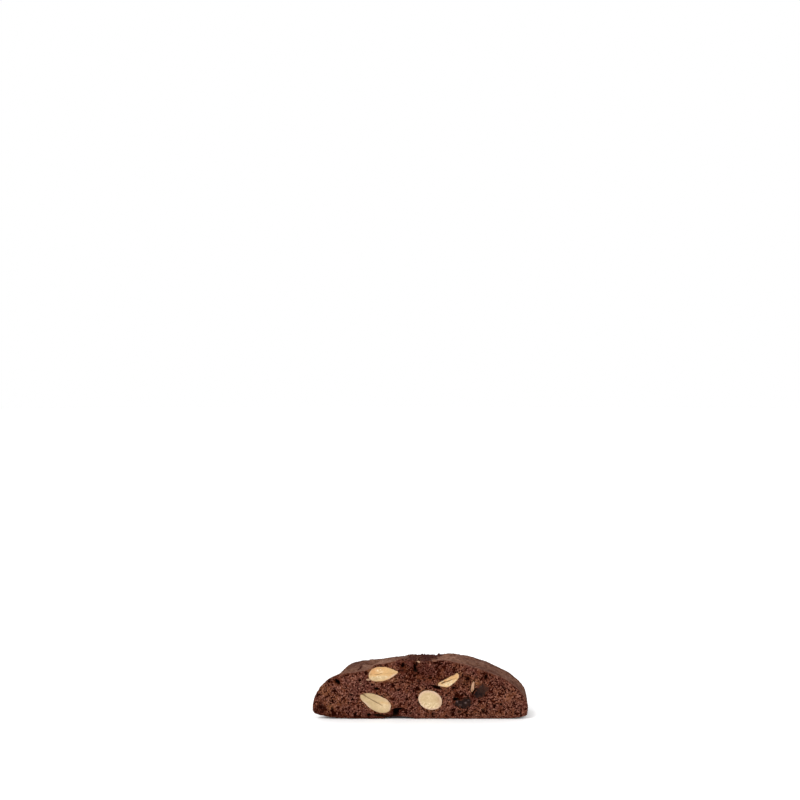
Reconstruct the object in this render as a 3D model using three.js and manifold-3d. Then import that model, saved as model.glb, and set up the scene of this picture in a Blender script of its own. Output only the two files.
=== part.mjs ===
// A chocolate and almond biscotto: one slice cut across a baked log, standing on the log's flat base.
// Millimetres, +Z up. The slice's length runs along X and its two cut faces look along -Y and +Y.
// The dough is one solid. Each almond and each chocolate lump is a solid of its own, cut off flush
// with the cut face that it shows in, in a pocket a little larger than itself.
import * as THREE from 'three';
import { mergeVertices } from 'three/addons/utils/BufferGeometryUtils.js';
import Module from 'manifold-3d';

// ---------- driving dimensions ----------
const THICKNESS = 15; // from cut face to cut face
const GAP = 0.3; // between a piece and its pocket in the dough
const HEEL = 4.2; // height where the slice is widest, just above its base

// Each edge is where the crust meets a cut face: a low dome on rounded heels.
// shoulder and toe say how square its upper and lower corners are, left and right.
const FRONT_EDGE = {
  left: -37.6,
  right: 36.85,
  peak: -4,
  crest: 19.7,
  fall: 0,
  shoulder: [3.2, 2.5],
  roll: [1.8, 1.8],
  toe: [4, 7],
  swells: [
    { at: -22.2, width: 7, rise: -1.9 }, // the crust sags left of the upper almond
    { at: -18.1, width: 3, rise: -0.8 },
    { at: -15.7, width: 1.5, rise: 0.9 }, // and steps up over it
    { at: -5.9, width: 3.3, rise: 1.3 },
    { at: 8.3, width: 7, rise: 1.1 },
  ],
};
const BACK_EDGE = {
  left: -27,
  right: 37.6,
  peak: 9,
  crest: 19.6,
  fall: 0.0026, // the dome drops by this times the square of the way from its peak
  shoulder: [26, 1.8],
  roll: [3, 2.2],
  toe: [4, 6],
  swells: [
    { at: -25.6, width: 1.6, rise: 0.45 },
    { at: -20.5, width: 2.5, rise: 0.25 },
    { at: -14.5, width: 3.5, rise: -0.2 },
    { at: -2, width: 5, rise: 0.3 },
    { at: 14, width: 6, rise: 0.5 },
  ],
};

// ---------- mesh of the crust ----------
const STATIONS = 116; // points round each edge
const LAYERS = 6; // sections from cut face to cut face
const CRUST_WAVE = 0.22; // height of the crust's slow waves
const SAG = { x: -30, y: 1.5, width: 2.6, depth: 5, drop: 1.3 }; // a dip behind the left shoulder
const BASE_TRIM = 0.25; // levels the lowest of the rounded base into one flat face

// ---------- pieces that show in the cut faces ----------
// x and z place a piece's middle in its cut face. size is the length that shows there, how far the
// piece reaches into the dough, and the width that shows. turn is the angle of its length above +X,
// which for an almond is that of its pointed end. ends says how blunt its two ends are, the round
// one first: the smaller, the blunter. A broken piece has its outline drawn, as [x, z] corners that
// go round anticlockwise.
const FRONT = -THICKNESS / 2;
const BACK = THICKNESS / 2;
const ENDS = [0.5, 0.8];
const ALMONDS = [
  {
    name: 'almond_top_left', face: FRONT, x: -13, z: 15.6, size: [9.7, 4.2, 4.6], turn: 7,
    ends: [0.52, 0.92],
  },
  {
    name: 'almond_low_left', face: FRONT, x: -15.75, z: 5.75, size: [10.9, 4.2, 5], turn: 155.5,
    ends: [0.45, 0.65],
  },
  {
    name: 'almond_split', face: FRONT, x: 9.6, z: 13.2, size: [8.1, 3.6, 2.8], turn: 27.5,
    outline: [
      [6, 11.7], [7, 11.5], [8, 11.3], [9.1, 11.3], [10, 11.7], [10.8, 12.4], [11.6, 13],
      [12.3, 13.8], [12.8, 14.6], [12.8, 15.4], [12.4, 15.9], [11.9, 15.1], [10.8, 14.6],
      [9.8, 14.2], [8.9, 13.8], [8, 13.2], [7.2, 12.7], [6.2, 12.3],
    ],
  },
  { name: 'almond_sliver', face: FRONT, x: 17.8, z: 11.2, size: [3.4, 3, 0.8], turn: 80 },
  { name: 'almond_back_crown', face: BACK, x: 14.6, z: 14.4, size: [9.8, 4.4, 4.8], turn: 168 },
  { name: 'almond_back_left', face: BACK, x: -19.4, z: 9.6, size: [9.2, 4.2, 5.4], turn: 38 },
  { name: 'almond_back_right', face: BACK, x: 26.2, z: 6.9, size: [7.2, 4.6, 5.6], turn: -24 },
  { name: 'almond_back_top', face: BACK, x: -8.4, z: 14.3, size: [7.4, 3.4, 3.2], turn: 12 },
];
// This one lies across the slice, so it shows round in both cut faces: size is its width and height
// in the front face, with its whole length between them, and it is thickest inset behind that face.
const THROUGH_ALMOND = {
  name: 'almond_round', x: 3.15, z: 6.5, size: [7.85, 25, 6.05], turn: -19,
  inset: 5,
};
const CHOCOLATE = [
  {
    name: 'chocolate_upper', face: FRONT, x: 20.7, z: 9.6, size: [5.2, 3.2, 3.6], turn: 37,
    outline: [
      [18.3, 8.4], [19, 7.7], [20.2, 7.6], [21.2, 8], [22.1, 8.7], [22.8, 9.6], [22.9, 10.7],
      [22.1, 11.6], [21, 11.9], [20.1, 11.3], [19.4, 10.3], [18.8, 9.4],
    ],
  },
  {
    name: 'chocolate_lower', face: FRONT, x: 14.7, z: 5.4, size: [4.8, 3.4, 3.2], turn: 10,
    outline: [
      [11.5, 5.6], [12.1, 4.9], [12.8, 4.5], [13.6, 4.1], [14.6, 3.8], [15.6, 3.8], [16.6, 4.3],
      [17.2, 5.2], [17.1, 6.3], [16.2, 6.9], [15.2, 7], [14.2, 6.7], [13.2, 6.3], [12.3, 6.2],
    ],
  },
  { name: 'chocolate_back', face: BACK, x: -5.2, z: 7.2, size: [5, 3.6, 3.4], turn: 15 },
];
const LUMP_CORNERS = [0.84, 1.1]; // how far out a broken lump's corners lie, as a share of its size

// ---------- hollows in the dough ----------
const HOLLOWS = [
  { face: FRONT, x: -28.7, z: 12.8, size: [2.9, 2.4, 1.4], turn: -55 }, // near the left shoulder
  { face: FRONT, x: -34.2, z: 3.6, size: [4.2, 1.4, 2.6], turn: -8 }, // ragged left heel
  { face: FRONT, x: -8.6, z: 2.6, size: [2.4, 2.6, 2.3] }, // under the low almond's end
  { face: FRONT, x: -7.2, z: 3.5, size: [1.9, 1.6, 0.8] },
  { face: FRONT, x: -17.8, z: 1.5, size: [1.9, 1, 0.9] },
  { face: FRONT, x: -15.3, z: 10.4, size: [2, 1.6, 0.9] },
  { face: FRONT, x: -6.2, z: 18.6, size: [1.4, 2.2, 1.8] },
  { face: FRONT, x: -2.1, z: 17.9, size: [3, 2, 0.9], turn: 98 }, // a rift under the deepest fissure
  { face: FRONT, x: 5.4, z: 10.9, size: [4, 2.4, 1.1], turn: -24 }, // under the split almond's tip
  { face: FRONT, x: 11.3, z: 10.8, size: [1.4, 1.3, 1] },
  { face: FRONT, x: 4.4, z: 1.6, size: [1.6, 1.4, 1.2] },
  { face: FRONT, x: 22.4, z: 14.4, size: [2.1, 1.8, 1.3], turn: 70 },
  { face: FRONT, x: 16.2, z: 13.7, size: [2, 1.3, 1.4], turn: 110 },
  { face: FRONT, x: 12, z: 6.8, size: [2.3, 1.7, 1.1], turn: -6 }, // beside the lower chocolate
  { face: FRONT, x: 18.5, z: 9.5, size: [3.2, 1.5, 0.9], turn: 47 }, // along the upper chocolate
  { face: FRONT, x: -31.7, z: 12.8, size: [1.1, 1.2, 0.9] },
  { face: FRONT, x: 27.5, z: 5, size: [1.3, 1.6, 1.1] },
  { face: BACK, x: 21, z: 10.6, size: [2.2, 2, 1.4], turn: 20 },
  { face: BACK, x: -24.2, z: 6, size: [2.4, 2, 1.6], turn: -35 },
  { face: BACK, x: 5.6, z: 15.2, size: [2, 2, 1.2] },
  { face: BACK, x: 31.4, z: 4, size: [2.2, 1.6, 1.4] },
];
const HOLLOW_CORNERS = [0.72, 1.2]; // the same for a hollow
const PORES_PER_FACE = 26;
const PORE_WIDTH = [0.7, 1.4]; // smallest and largest
const PORE_DEPTH = 1.1; // times its width
const PORE_MARGIN = 1.3; // from the crust and from every piece

// The fissures run from cut face to cut face over the top of the crust.
const FISSURES = [
  { at: -1.3, wander: 0.8, width: 1.3, depth: 3, backDepth: 0.5 },
  { at: -5.4, wander: 0.6, width: 1.1, depth: 1.3, backDepth: 0.9 },
  { at: 3.9, wander: 0.9, width: 1, depth: 0.9, backDepth: 1.2 },
];
// Between them the crust is torn into small crags.
const CRAGS = { count: 12, from: -7.2, to: 6.4, width: [1.2, 2.6], depth: 0.55 };
const BASE_DENT = { x: -7.6, length: 11, rise: 0.8, reach: 7 }; // a shallow arch under the front edge

const LOOKS = {
  dough: { color: '#5a3427', roughness: 0.9, metalness: 0 },
  almond: { color: '#d9b98a', roughness: 0.55, metalness: 0 },
  chocolate: { color: '#38231c', roughness: 0.6, metalness: 0 },
};

// ---------- helpers ----------
const wasm = await Module();
wasm.setup();

function solidFrom(geometry) {
  const bare = new THREE.BufferGeometry().setAttribute('position', geometry.getAttribute('position'));
  if (geometry.index) bare.setIndex(geometry.index);
  const merged = mergeVertices(bare, 1e-4);
  return new wasm.Manifold(
    new wasm.Mesh({
      numProp: 3,
      vertProperties: new Float32Array(merged.attributes.position.array),
      triVerts: new Uint32Array(merged.index.array),
    }),
  );
}

function geometryFrom(solid) {
  const mesh = solid.getMesh();
  const geometry = new THREE.BufferGeometry();
  geometry.setAttribute('position', new THREE.BufferAttribute(mesh.vertProperties, 3));
  geometry.setIndex(new THREE.BufferAttribute(mesh.triVerts, 1));
  geometry.computeVertexNormals();
  return geometry;
}

// A seeded draw, so that every build gives the same pores and lumps.
function seededDraw(seed) {
  let state = seed;
  return () => {
    state = (state * 1664525 + 1013904223) % 4294967296;
    return state / 4294967296;
  };
}

function bendVertices(geometry, bend) {
  const positions = geometry.getAttribute('position');
  const point = new THREE.Vector3();
  for (let i = 0; i < positions.count; i += 1) {
    bend(point.fromBufferAttribute(positions, i));
    positions.setXYZ(i, point.x, point.y, point.z);
  }
  return geometry;
}

// ---------- the dough ----------
function topHeight(edge, x) {
  const side = x < edge.peak ? 0 : 1;
  const end = side === 0 ? edge.left : edge.right;
  const out = Math.min(1, (x - edge.peak) / (end - edge.peak));
  const dome = edge.crest - edge.fall * (x - edge.peak) ** 2;
  const round = (1 - out ** edge.shoulder[side]) ** (1 / edge.roll[side]);
  const swell = edge.swells.reduce((sum, s) => sum + s.rise * Math.exp(-(((x - s.at) / s.width) ** 2)), 0);
  return HEEL + (dome - HEEL) * round + swell * Math.min(1, round * 2);
}

function baseHeight(edge, x) {
  const middle = (edge.left + edge.right) / 2;
  const toe = x < middle ? edge.toe[0] : edge.toe[1];
  const out = Math.min(1, Math.abs(x - middle) / ((edge.right - edge.left) / 2));
  const height = HEEL * (1 - (1 - out ** toe) ** (1 / toe));
  return Math.max(0, height - BASE_TRIM * (1 - out));
}

// The whole edge, anticlockwise from the left tip along the base, with its points evenly spaced.
function edgePoints(edge) {
  const fine = 240;
  const along = (i) => edge.left + ((edge.right - edge.left) * (1 - Math.cos((Math.PI * i) / fine))) / 2;
  const outline = new THREE.Path();
  outline.moveTo(edge.left, HEEL);
  for (let i = 1; i <= fine; i += 1) outline.lineTo(along(i), baseHeight(edge, along(i)));
  for (let i = fine - 1; i > 0; i -= 1) outline.lineTo(along(i), topHeight(edge, along(i)));
  outline.closePath();
  return outline.getSpacedPoints(STATIONS).slice(0, STATIONS);
}

// Slow waves in the crust that die out on the base and at the cut faces.
function crustWave(x, y, z) {
  const raised = Math.min(1, Math.max(0, (z - 1) / 4));
  const clear = raised * (1 - 0.6 * Math.abs(y / BACK));
  const wave = Math.sin(x * 0.52 + y * 0.31 + 1) + 0.7 * Math.sin(x * 0.93 - y * 0.63 + 2.4);
  const sag = SAG.drop * Math.exp(-(((x - SAG.x) / SAG.width) ** 2) - ((y - SAG.y) / SAG.depth) ** 2);
  return CRUST_WAVE * clear * (wave + 0.5 * Math.sin(y * 1.1 + z * 0.8)) - sag * raised;
}

function section(front, back, share) {
  const y = THREE.MathUtils.lerp(FRONT, BACK, share);
  return front.map((point, i) => {
    const flat = point.clone().lerp(back[i], share);
    const wave = crustWave(flat.x, y, flat.y);
    return new THREE.Vector3(flat.x, y, flat.y + wave);
  });
}

function doughBody() {
  const front = edgePoints(FRONT_EDGE);
  const back = edgePoints(BACK_EDGE);
  const rows = Array.from({ length: LAYERS }, (_, i) => section(front, back, i / (LAYERS - 1)));
  const index = [];
  for (let row = 0; row < LAYERS - 1; row += 1) {
    for (let i = 0; i < STATIONS; i += 1) {
      const a = row * STATIONS + i;
      const b = row * STATIONS + ((i + 1) % STATIONS);
      index.push(a, a + STATIONS, b, b, a + STATIONS, b + STATIONS);
    }
  }
  const faceOf = (row) =>
    THREE.ShapeUtils.triangulateShape(row.map((p) => new THREE.Vector2(p.x, p.z)), []);
  const last = (LAYERS - 1) * STATIONS;
  faceOf(rows[0]).forEach(([a, b, c]) => index.push(a, b, c));
  faceOf(rows[LAYERS - 1]).forEach(([a, b, c]) => index.push(last + a, last + c, last + b));
  const geometry = new THREE.BufferGeometry().setFromPoints(rows.flat());
  return solidFrom(geometry.setIndex(index));
}

// ---------- almonds and chocolate ----------
// Round at one end and pointed at the other: a sphere whose radius follows the almond's outline.
function almondRadius(along, [round, point]) {
  const widest = (round - point) / (round + point);
  const most = (1 + widest) ** round * (1 - widest) ** point;
  return ((1 + along) ** round * (1 - along) ** point) / most;
}

function almondShape(spec, grow) {
  const shape = new THREE.SphereGeometry(1, 16, 12);
  bendVertices(shape, (p) => {
    const ring = Math.hypot(p.x, p.z) || 1;
    const isPole = Math.abs(p.y) > 1 - 1e-6;
    const radius = isPole ? 0 : almondRadius(p.y, spec.ends ?? ENDS);
    p.set((p.x / ring) * radius, p.y, (p.z / ring) * radius);
  });
  shape.rotateZ(-Math.PI / 2); // its point along +X
  return shape.scale(spec.size[0] / 2 + grow, spec.size[1] + grow, spec.size[2] / 2 + grow);
}

function almondSolid(spec, grow = 0) {
  const shape = almondShape(spec, grow);
  shape.rotateY(THREE.MathUtils.degToRad(-spec.turn));
  return solidFrom(shape.translate(spec.x, spec.face, spec.z));
}

function throughAlmondSolid(spec, grow = 0) {
  const shape = new THREE.SphereGeometry(1, 22, 14);
  const [width, length, height] = spec.size;
  const shown = Math.sqrt(1 - (spec.inset / (length / 2)) ** 2); // of its full width
  shape.scale(width / 2 / shown + grow, length / 2 + grow, height / 2 / shown + grow);
  shape.rotateY(THREE.MathUtils.degToRad(-spec.turn));
  return solidFrom(shape.translate(spec.x, FRONT + spec.inset, spec.z));
}

// A broken lump: a faceted ball with each corner moved in or out.
function lumpSolid(spec, grow = 0, corners = LUMP_CORNERS) {
  const draw = seededDraw(Math.round(spec.x * 100 + spec.z * 10 + 5000));
  const facets = new THREE.IcosahedronGeometry(1, 1).deleteAttribute('normal').deleteAttribute('uv');
  const ball = mergeVertices(facets, 1e-4);
  bendVertices(ball, (p) => p.multiplyScalar(THREE.MathUtils.lerp(...corners, draw())));
  ball.scale(spec.size[0] / 2 + grow, spec.size[1] + grow, spec.size[2] / 2 + grow);
  ball.rotateY(THREE.MathUtils.degToRad(-(spec.turn ?? 0)));
  return solidFrom(ball.translate(spec.x, spec.face, spec.z));
}

// The drawn outline of a broken piece, drawn in towards its inner end.
function brokenSolid(spec, grow = 0) {
  const stations = 28;
  const rows = 8; // from end to end, so that the middle one lies in the cut face
  const curve = new THREE.CatmullRomCurve3(spec.outline.map(([x, z]) => new THREE.Vector3(x, 0, z)), true);
  const middle = new THREE.Vector3(spec.x, 0, spec.z);
  const points = [middle.clone().setY(spec.face - spec.size[1] - grow)];
  for (let row = 1; row < rows; row += 1) {
    const lean = Math.PI * (row / rows - 0.5);
    for (let i = 0; i < stations; i += 1) {
      const way = curve.getTangentAt(i / stations);
      const edge = curve.getPointAt(i / stations);
      edge.addScaledVector(new THREE.Vector3(way.z, 0, -way.x), grow);
      const point = middle.clone().lerp(edge, Math.cos(lean));
      points.push(point.setY(spec.face + Math.sin(lean) * (spec.size[1] + grow)));
    }
  }
  const last = points.push(middle.clone().setY(spec.face + spec.size[1] + grow)) - 1;
  const index = [];
  for (let i = 0; i < stations; i += 1) {
    const next = (i + 1) % stations;
    index.push(0, 1 + i, 1 + next, last, last - stations + next, last - stations + i);
    for (let start = 1; start < last - stations; start += stations) {
      const [a, b] = [start + i, start + next];
      index.push(a, a + stations, b, b, a + stations, b + stations);
    }
  }
  return solidFrom(new THREE.BufferGeometry().setFromPoints(points).setIndex(index));
}

const slab = solidFrom(new THREE.BoxGeometry(200, THICKNESS, 200));

// ---------- what is cut out of the dough ----------
function crustHeight(x, share) {
  return THREE.MathUtils.lerp(topHeight(FRONT_EDGE, x), topHeight(BACK_EDGE, x), share);
}

// A wandering wedge with its edge down, whose lips open a little above the crust.
function fissureSolid(fissure) {
  const steps = 10;
  const past = 0.6; // beyond each cut face
  const open = 1.5; // height above the crust
  const draw = seededDraw(Math.round(fissure.at * 10 + 700));
  const phase = draw() * 6;
  const points = [];
  for (let i = 0; i < steps; i += 1) {
    const share = i / (steps - 1);
    const y = THREE.MathUtils.lerp(FRONT - past, BACK + past, share);
    const x = fissure.at + fissure.wander * (Math.sin(y * 0.45 + phase) + 0.5 * (draw() - 0.5));
    const depth = THREE.MathUtils.lerp(fissure.depth, fissure.backDepth, share) * (0.8 + 0.4 * draw());
    const crust = crustHeight(x, share);
    const lip = fissure.width * (0.45 + 0.25 * draw());
    points.push(new THREE.Vector3(x - lip, y, crust + open), new THREE.Vector3(x, y, crust - depth));
    points.push(new THREE.Vector3(x + lip, y, crust + open));
  }
  const index = [0, 1, 2];
  for (let i = 0; i < steps - 1; i += 1) {
    for (let k = 0; k < 3; k += 1) {
      const a = i * 3 + k;
      const b = i * 3 + ((k + 1) % 3);
      index.push(a, a + 3, b, b, a + 3, b + 3);
    }
  }
  const last = (steps - 1) * 3;
  index.push(last, last + 2, last + 1);
  return solidFrom(new THREE.BufferGeometry().setFromPoints(points).setIndex(index));
}

function baseDentSolid(dent) {
  const dome = new THREE.SphereGeometry(1, 20, 12).scale(dent.length / 2, dent.reach, dent.rise);
  return solidFrom(dome.translate(dent.x, FRONT, 0));
}

function cragSolids() {
  const draw = seededDraw(5);
  return Array.from({ length: CRAGS.count }, () => {
    const x = THREE.MathUtils.lerp(CRAGS.from, CRAGS.to, draw());
    const share = draw();
    const width = THREE.MathUtils.lerp(...CRAGS.width, draw());
    const crag = new THREE.IcosahedronGeometry(0.5, 0).rotateX(draw() * 3).rotateZ(draw() * 3);
    crag.scale(width, width * (1 + draw()), CRAGS.depth * 2);
    return solidFrom(crag.translate(x, THREE.MathUtils.lerp(FRONT, BACK, share), crustHeight(x, share)));
  });
}

// Whether a spot in a cut face is clear of each piece's own oval.
function clearOfPieces(x, z, pieces) {
  return pieces.every((piece) => {
    const turn = THREE.MathUtils.degToRad(piece.turn ?? 0);
    const along = (x - piece.x) * Math.cos(turn) + (z - piece.z) * Math.sin(turn);
    const across = (z - piece.z) * Math.cos(turn) - (x - piece.x) * Math.sin(turn);
    const halfLength = piece.size[0] / 2 + PORE_MARGIN;
    const halfWidth = piece.size[2] / 2 + PORE_MARGIN;
    return Math.hypot(along / halfLength, across / halfWidth) > 1;
  });
}

// Small pores strewn over a cut face, clear of the crust and of the pieces.
function poreSolids(face, edge, seed) {
  const draw = seededDraw(seed);
  const shown = [...ALMONDS, ...CHOCOLATE, ...HOLLOWS].filter((piece) => piece.face === face);
  shown.push(THROUGH_ALMOND);
  const pores = [];
  for (let tries = 0; pores.length < PORES_PER_FACE && tries < 4000; tries += 1) {
    const x = THREE.MathUtils.lerp(edge.left + 2, edge.right - 2, draw());
    const z = THREE.MathUtils.lerp(1, edge.crest, draw());
    const inside = z > baseHeight(edge, x) + PORE_MARGIN && z < topHeight(edge, x) - PORE_MARGIN;
    if (!inside || !clearOfPieces(x, z, shown)) continue;
    const width = THREE.MathUtils.lerp(...PORE_WIDTH, draw() ** 2);
    const pore = new THREE.IcosahedronGeometry(0.5, 0);
    pore.rotateX(draw() * 3).rotateY(draw() * 3);
    pore.scale(width * (1 + 0.5 * draw()), width * PORE_DEPTH * 2, width);
    pores.push(solidFrom(pore.translate(x, face, z)));
    shown.push({ x, z, size: [width, width, width] });
  }
  return pores;
}

// ---------- the slice ----------
const made = (spec, look, solid) => ({ name: spec.name, look, make: (grow) => solid(spec, grow) });
const pieces = [
  ...ALMONDS.map((spec) => made(spec, LOOKS.almond, spec.outline ? brokenSolid : almondSolid)),
  made(THROUGH_ALMOND, LOOKS.almond, throughAlmondSolid),
  ...CHOCOLATE.map((spec) => made(spec, LOOKS.chocolate, spec.outline ? brokenSolid : lumpSolid)),
];

function doughSolid() {
  const cuts = [
    ...HOLLOWS.map((hollow) => lumpSolid(hollow, 0, HOLLOW_CORNERS)),
    ...poreSolids(FRONT, FRONT_EDGE, 11),
    ...poreSolids(BACK, BACK_EDGE, 29),
    ...FISSURES.map(fissureSolid),
    ...cragSolids(),
    baseDentSolid(BASE_DENT),
    ...pieces.map((piece) => piece.make(GAP)),
  ];
  return cuts.reduce((body, cut) => body.subtract(cut), doughBody());
}

const group = new THREE.Group();

function addPiece(name, solid, look) {
  const mesh = new THREE.Mesh(geometryFrom(solid), new THREE.MeshStandardMaterial(look));
  mesh.name = name;
  group.add(mesh);
}

addPiece('crumb', doughSolid(), LOOKS.dough);
pieces.forEach((piece) => addPiece(piece.name, piece.make(0).intersect(slab), piece.look));

// The origin is the middle of the slice's base.
const box = new THREE.Box3().setFromObject(group);
const middle = box.getCenter(new THREE.Vector3());
group.position.set(-middle.x, -middle.y, -box.min.z);

export default group;
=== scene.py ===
"""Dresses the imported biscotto: porous chocolate dough with a baked crust, cut almonds, chocolate lumps.

Shapes are worked out in millimetres and turned into metres when a piece is finished.
"""
import math

import bmesh
import bpy
import numpy as np
from mathutils import Matrix, Vector
from mathutils.bvhtree import BVHTree
from mathutils.kdtree import KDTree


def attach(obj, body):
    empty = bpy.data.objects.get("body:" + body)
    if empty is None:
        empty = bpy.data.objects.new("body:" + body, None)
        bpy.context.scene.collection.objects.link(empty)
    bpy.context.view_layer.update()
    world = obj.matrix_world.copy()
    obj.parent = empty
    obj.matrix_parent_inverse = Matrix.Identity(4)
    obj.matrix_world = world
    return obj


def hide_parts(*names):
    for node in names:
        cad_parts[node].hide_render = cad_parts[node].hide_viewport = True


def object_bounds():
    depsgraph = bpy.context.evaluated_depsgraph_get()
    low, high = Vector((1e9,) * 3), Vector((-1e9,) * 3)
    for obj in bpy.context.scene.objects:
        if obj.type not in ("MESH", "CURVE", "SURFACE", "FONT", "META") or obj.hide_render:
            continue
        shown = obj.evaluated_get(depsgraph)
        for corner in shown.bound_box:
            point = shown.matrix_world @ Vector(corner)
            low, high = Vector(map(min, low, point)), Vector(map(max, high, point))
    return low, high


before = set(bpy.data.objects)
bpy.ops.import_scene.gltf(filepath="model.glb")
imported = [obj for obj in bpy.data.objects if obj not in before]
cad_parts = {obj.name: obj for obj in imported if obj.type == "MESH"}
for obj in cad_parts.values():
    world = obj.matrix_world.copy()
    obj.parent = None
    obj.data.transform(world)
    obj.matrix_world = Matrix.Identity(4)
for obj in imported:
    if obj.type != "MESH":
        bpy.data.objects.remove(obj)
cad_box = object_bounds()

MM = 0.001  # metres in a millimetre
BODY = "root"
FRONT_Y = cad_box[0].y / MM
BACK_Y = cad_box[1].y / MM

# ---------- sizes, in millimetres ----------
DOUGH_GRID = 0.145  # mesh size the dough is carved at
DOUGH_FACES = 194000  # triangles it is thinned to afterwards
ALMOND_GRID = 0.12
LUMP_GRID = 0.15
POCKET_GAP = 0.3  # between a CAD piece and its pocket; the dressed pieces fill it
OVERLAP = 0.1  # and reach this much further, so that crumbs lie over their edges
MERGE = 0.001  # corners this close are one
RELAX_STEP = 0.6  # share of the way to its neighbours' middle that a vertex goes in a round
DOUGH_ROUNDS = 3
CUT_PIECE_ROUNDS = 6
CRUST_SHARP = (0.25, 0.65)  # depth under the baked surface where crust turns into crumb

# ---------- camera ----------
FRAME_PIXELS = 800
VIEW_DISTANCE = 550 * MM
VIEW_ELEVATION = math.radians(12)
MM_PER_PIXEL = 0.35
AIM_HEIGHT = 10 * MM
BASE_PIXEL = (421.0, 719)  # where the middle of the front base edge is seen
SENSOR = 36


# ---------- node trees written as expressions ----------
class Wire:
    """One output of a node; sums on it add Math nodes."""

    def __init__(self, graph, node, output):
        self.graph, self.node, self.output = graph, node, output

    def out(self, name):
        return Wire(self.graph, self.node, name)

    @property
    def socket(self):
        return self.node.outputs[self.output]

    def math(self, operation, *others):
        return self.graph.node("ShaderNodeMath", {"operation": operation}, dict(enumerate(others)))

    def __add__(self, other):
        return self.math("ADD", self, other)

    __radd__ = __add__

    def __sub__(self, other):
        return self.math("SUBTRACT", self, other)

    def __rsub__(self, other):
        return self.math("SUBTRACT", other, self)

    def __mul__(self, other):
        return self.math("MULTIPLY", self, other)

    __rmul__ = __mul__

    def __truediv__(self, other):
        return self.math("DIVIDE", self, other)

    def __rtruediv__(self, other):
        return self.math("DIVIDE", other, self)

    def __neg__(self):
        return self * -1

    def __gt__(self, other):
        return self.math("GREATER_THAN", self, other)

    def __abs__(self):
        return self.math("ABSOLUTE", self)

    def most(self, other):
        return self.math("MAXIMUM", self, other)

    def least(self, other):
        return self.math("MINIMUM", self, other)

    def ease(self, low, high, start=0.0, end=1.0):
        """Goes smoothly from start to end as this goes from low to high."""
        return self.graph.node(
            "ShaderNodeMapRange",
            {"interpolation_type": "SMOOTHSTEP"},
            {"Value": self, "From Min": low, "From Max": high, "To Min": start, "To Max": end},
        )


class Graph:
    """A shader or Geometry Nodes tree that is being written."""

    def __init__(self, tree):
        self.tree = tree

    def node(self, kind, settings=None, values=None, output=0):
        """Adds a node: its settings first, then the values or links of its sockets."""
        made = self.tree.nodes.new(kind)
        for name, value in (settings or {}).items():
            setattr(made, name, value)
        for key, value in (values or {}).items():
            if isinstance(value, Wire):
                self.tree.links.new(value.socket, made.inputs[key])
            else:
                made.inputs[key].default_value = value
        return Wire(self, made, output)

    def vector(self, operation, *values):
        return self.node("ShaderNodeVectorMath", {"operation": operation}, dict(enumerate(values)))

    def scaled(self, vector, by):
        return self.node("ShaderNodeVectorMath", {"operation": "SCALE"}, {"Vector": vector, "Scale": by})

    def noise(self, where, scale, detail=2.0, roughness=0.5, output="Fac"):
        values = {"Vector": where, "Scale": scale, "Detail": detail, "Roughness": roughness}
        return self.node("ShaderNodeTexNoise", {}, values, output)

    def shove(self, where, scale, detail, roughness=0.5):
        """A vector that wanders from place to place, up to half a unit either way on each axis."""
        wander = self.noise(where, scale, detail, roughness, "Color")
        return self.vector("SUBTRACT", wander, (0.5, 0.5, 0.5))

    def cells(self, where, scale, feature="F1"):
        values = {"Vector": where, "Scale": scale}
        return self.node("ShaderNodeTexVoronoi", {"feature": feature}, values, "Distance")

    def cell_luck(self, cells, channel):
        """A random number for each cell: one channel of the cells' random colours."""
        return self.node("FunctionNodeSeparateColor", {}, {"Color": cells.out("Color")}, channel)

    def bump(self, height, strength, rise):
        """Bent normals for a relief of that many millimetres."""
        values = {"Strength": strength, "Distance": rise * MM, "Height": height}
        return self.node("ShaderNodeBump", {}, values, "Normal")


# ---------- meshes ----------
def cad_copy(node):
    """A merged copy of a CAD node's mesh, in millimetres."""
    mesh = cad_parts[node].data.copy()
    mesh.materials.clear()
    mesh.transform(Matrix.Scale(1 / MM, 4))
    bm = bmesh.new()
    bm.from_mesh(mesh)
    bmesh.ops.remove_doubles(bm, verts=bm.verts, dist=MERGE)
    bm.to_mesh(mesh)
    bm.free()
    for name in [layer.name for layer in mesh.uv_layers]:
        mesh.uv_layers.remove(mesh.uv_layers[name])
    return mesh


def link(name, mesh):
    piece = bpy.data.objects.new(name, mesh)
    bpy.context.scene.collection.objects.link(piece)
    return piece


def bake_mesh(piece):
    """Turns what the piece's modifiers make into its own plain mesh."""
    graph = bpy.context.evaluated_depsgraph_get()
    mesh = bpy.data.meshes.new_from_object(piece.evaluated_get(graph))
    old = piece.data
    piece.modifiers.clear()
    piece.data = mesh
    bpy.data.meshes.remove(old)


def remesh(piece, grid):
    fine = piece.modifiers.new("even_grid", "REMESH")
    fine.mode = "VOXEL"
    fine.voxel_size = grid
    bake_mesh(piece)


def thin_out(piece, faces):
    """Brings the piece down to about that many triangles."""
    piece.data.calc_loop_triangles()
    now = len(piece.data.loop_triangles)
    if now > faces:
        fewer = piece.modifiers.new("thinned", "DECIMATE")
        fewer.ratio = faces / now
        bake_mesh(piece)


def points_of(mesh):
    flat = np.empty(len(mesh.vertices) * 3)
    mesh.vertices.foreach_get("co", flat)
    return flat.reshape(-1, 3)


def normals_of(mesh):
    flat = np.empty(len(mesh.vertices) * 3)
    mesh.vertex_normals.foreach_get("vector", flat)
    return flat.reshape(-1, 3)


def set_points(mesh, points):
    mesh.vertices.foreach_set("co", points.astype(np.float32).ravel())
    mesh.update()


def store(mesh, name, values):
    layer = mesh.attributes.new(name, "FLOAT", "POINT")
    layer.data.foreach_set("value", values.astype(np.float32))


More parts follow.
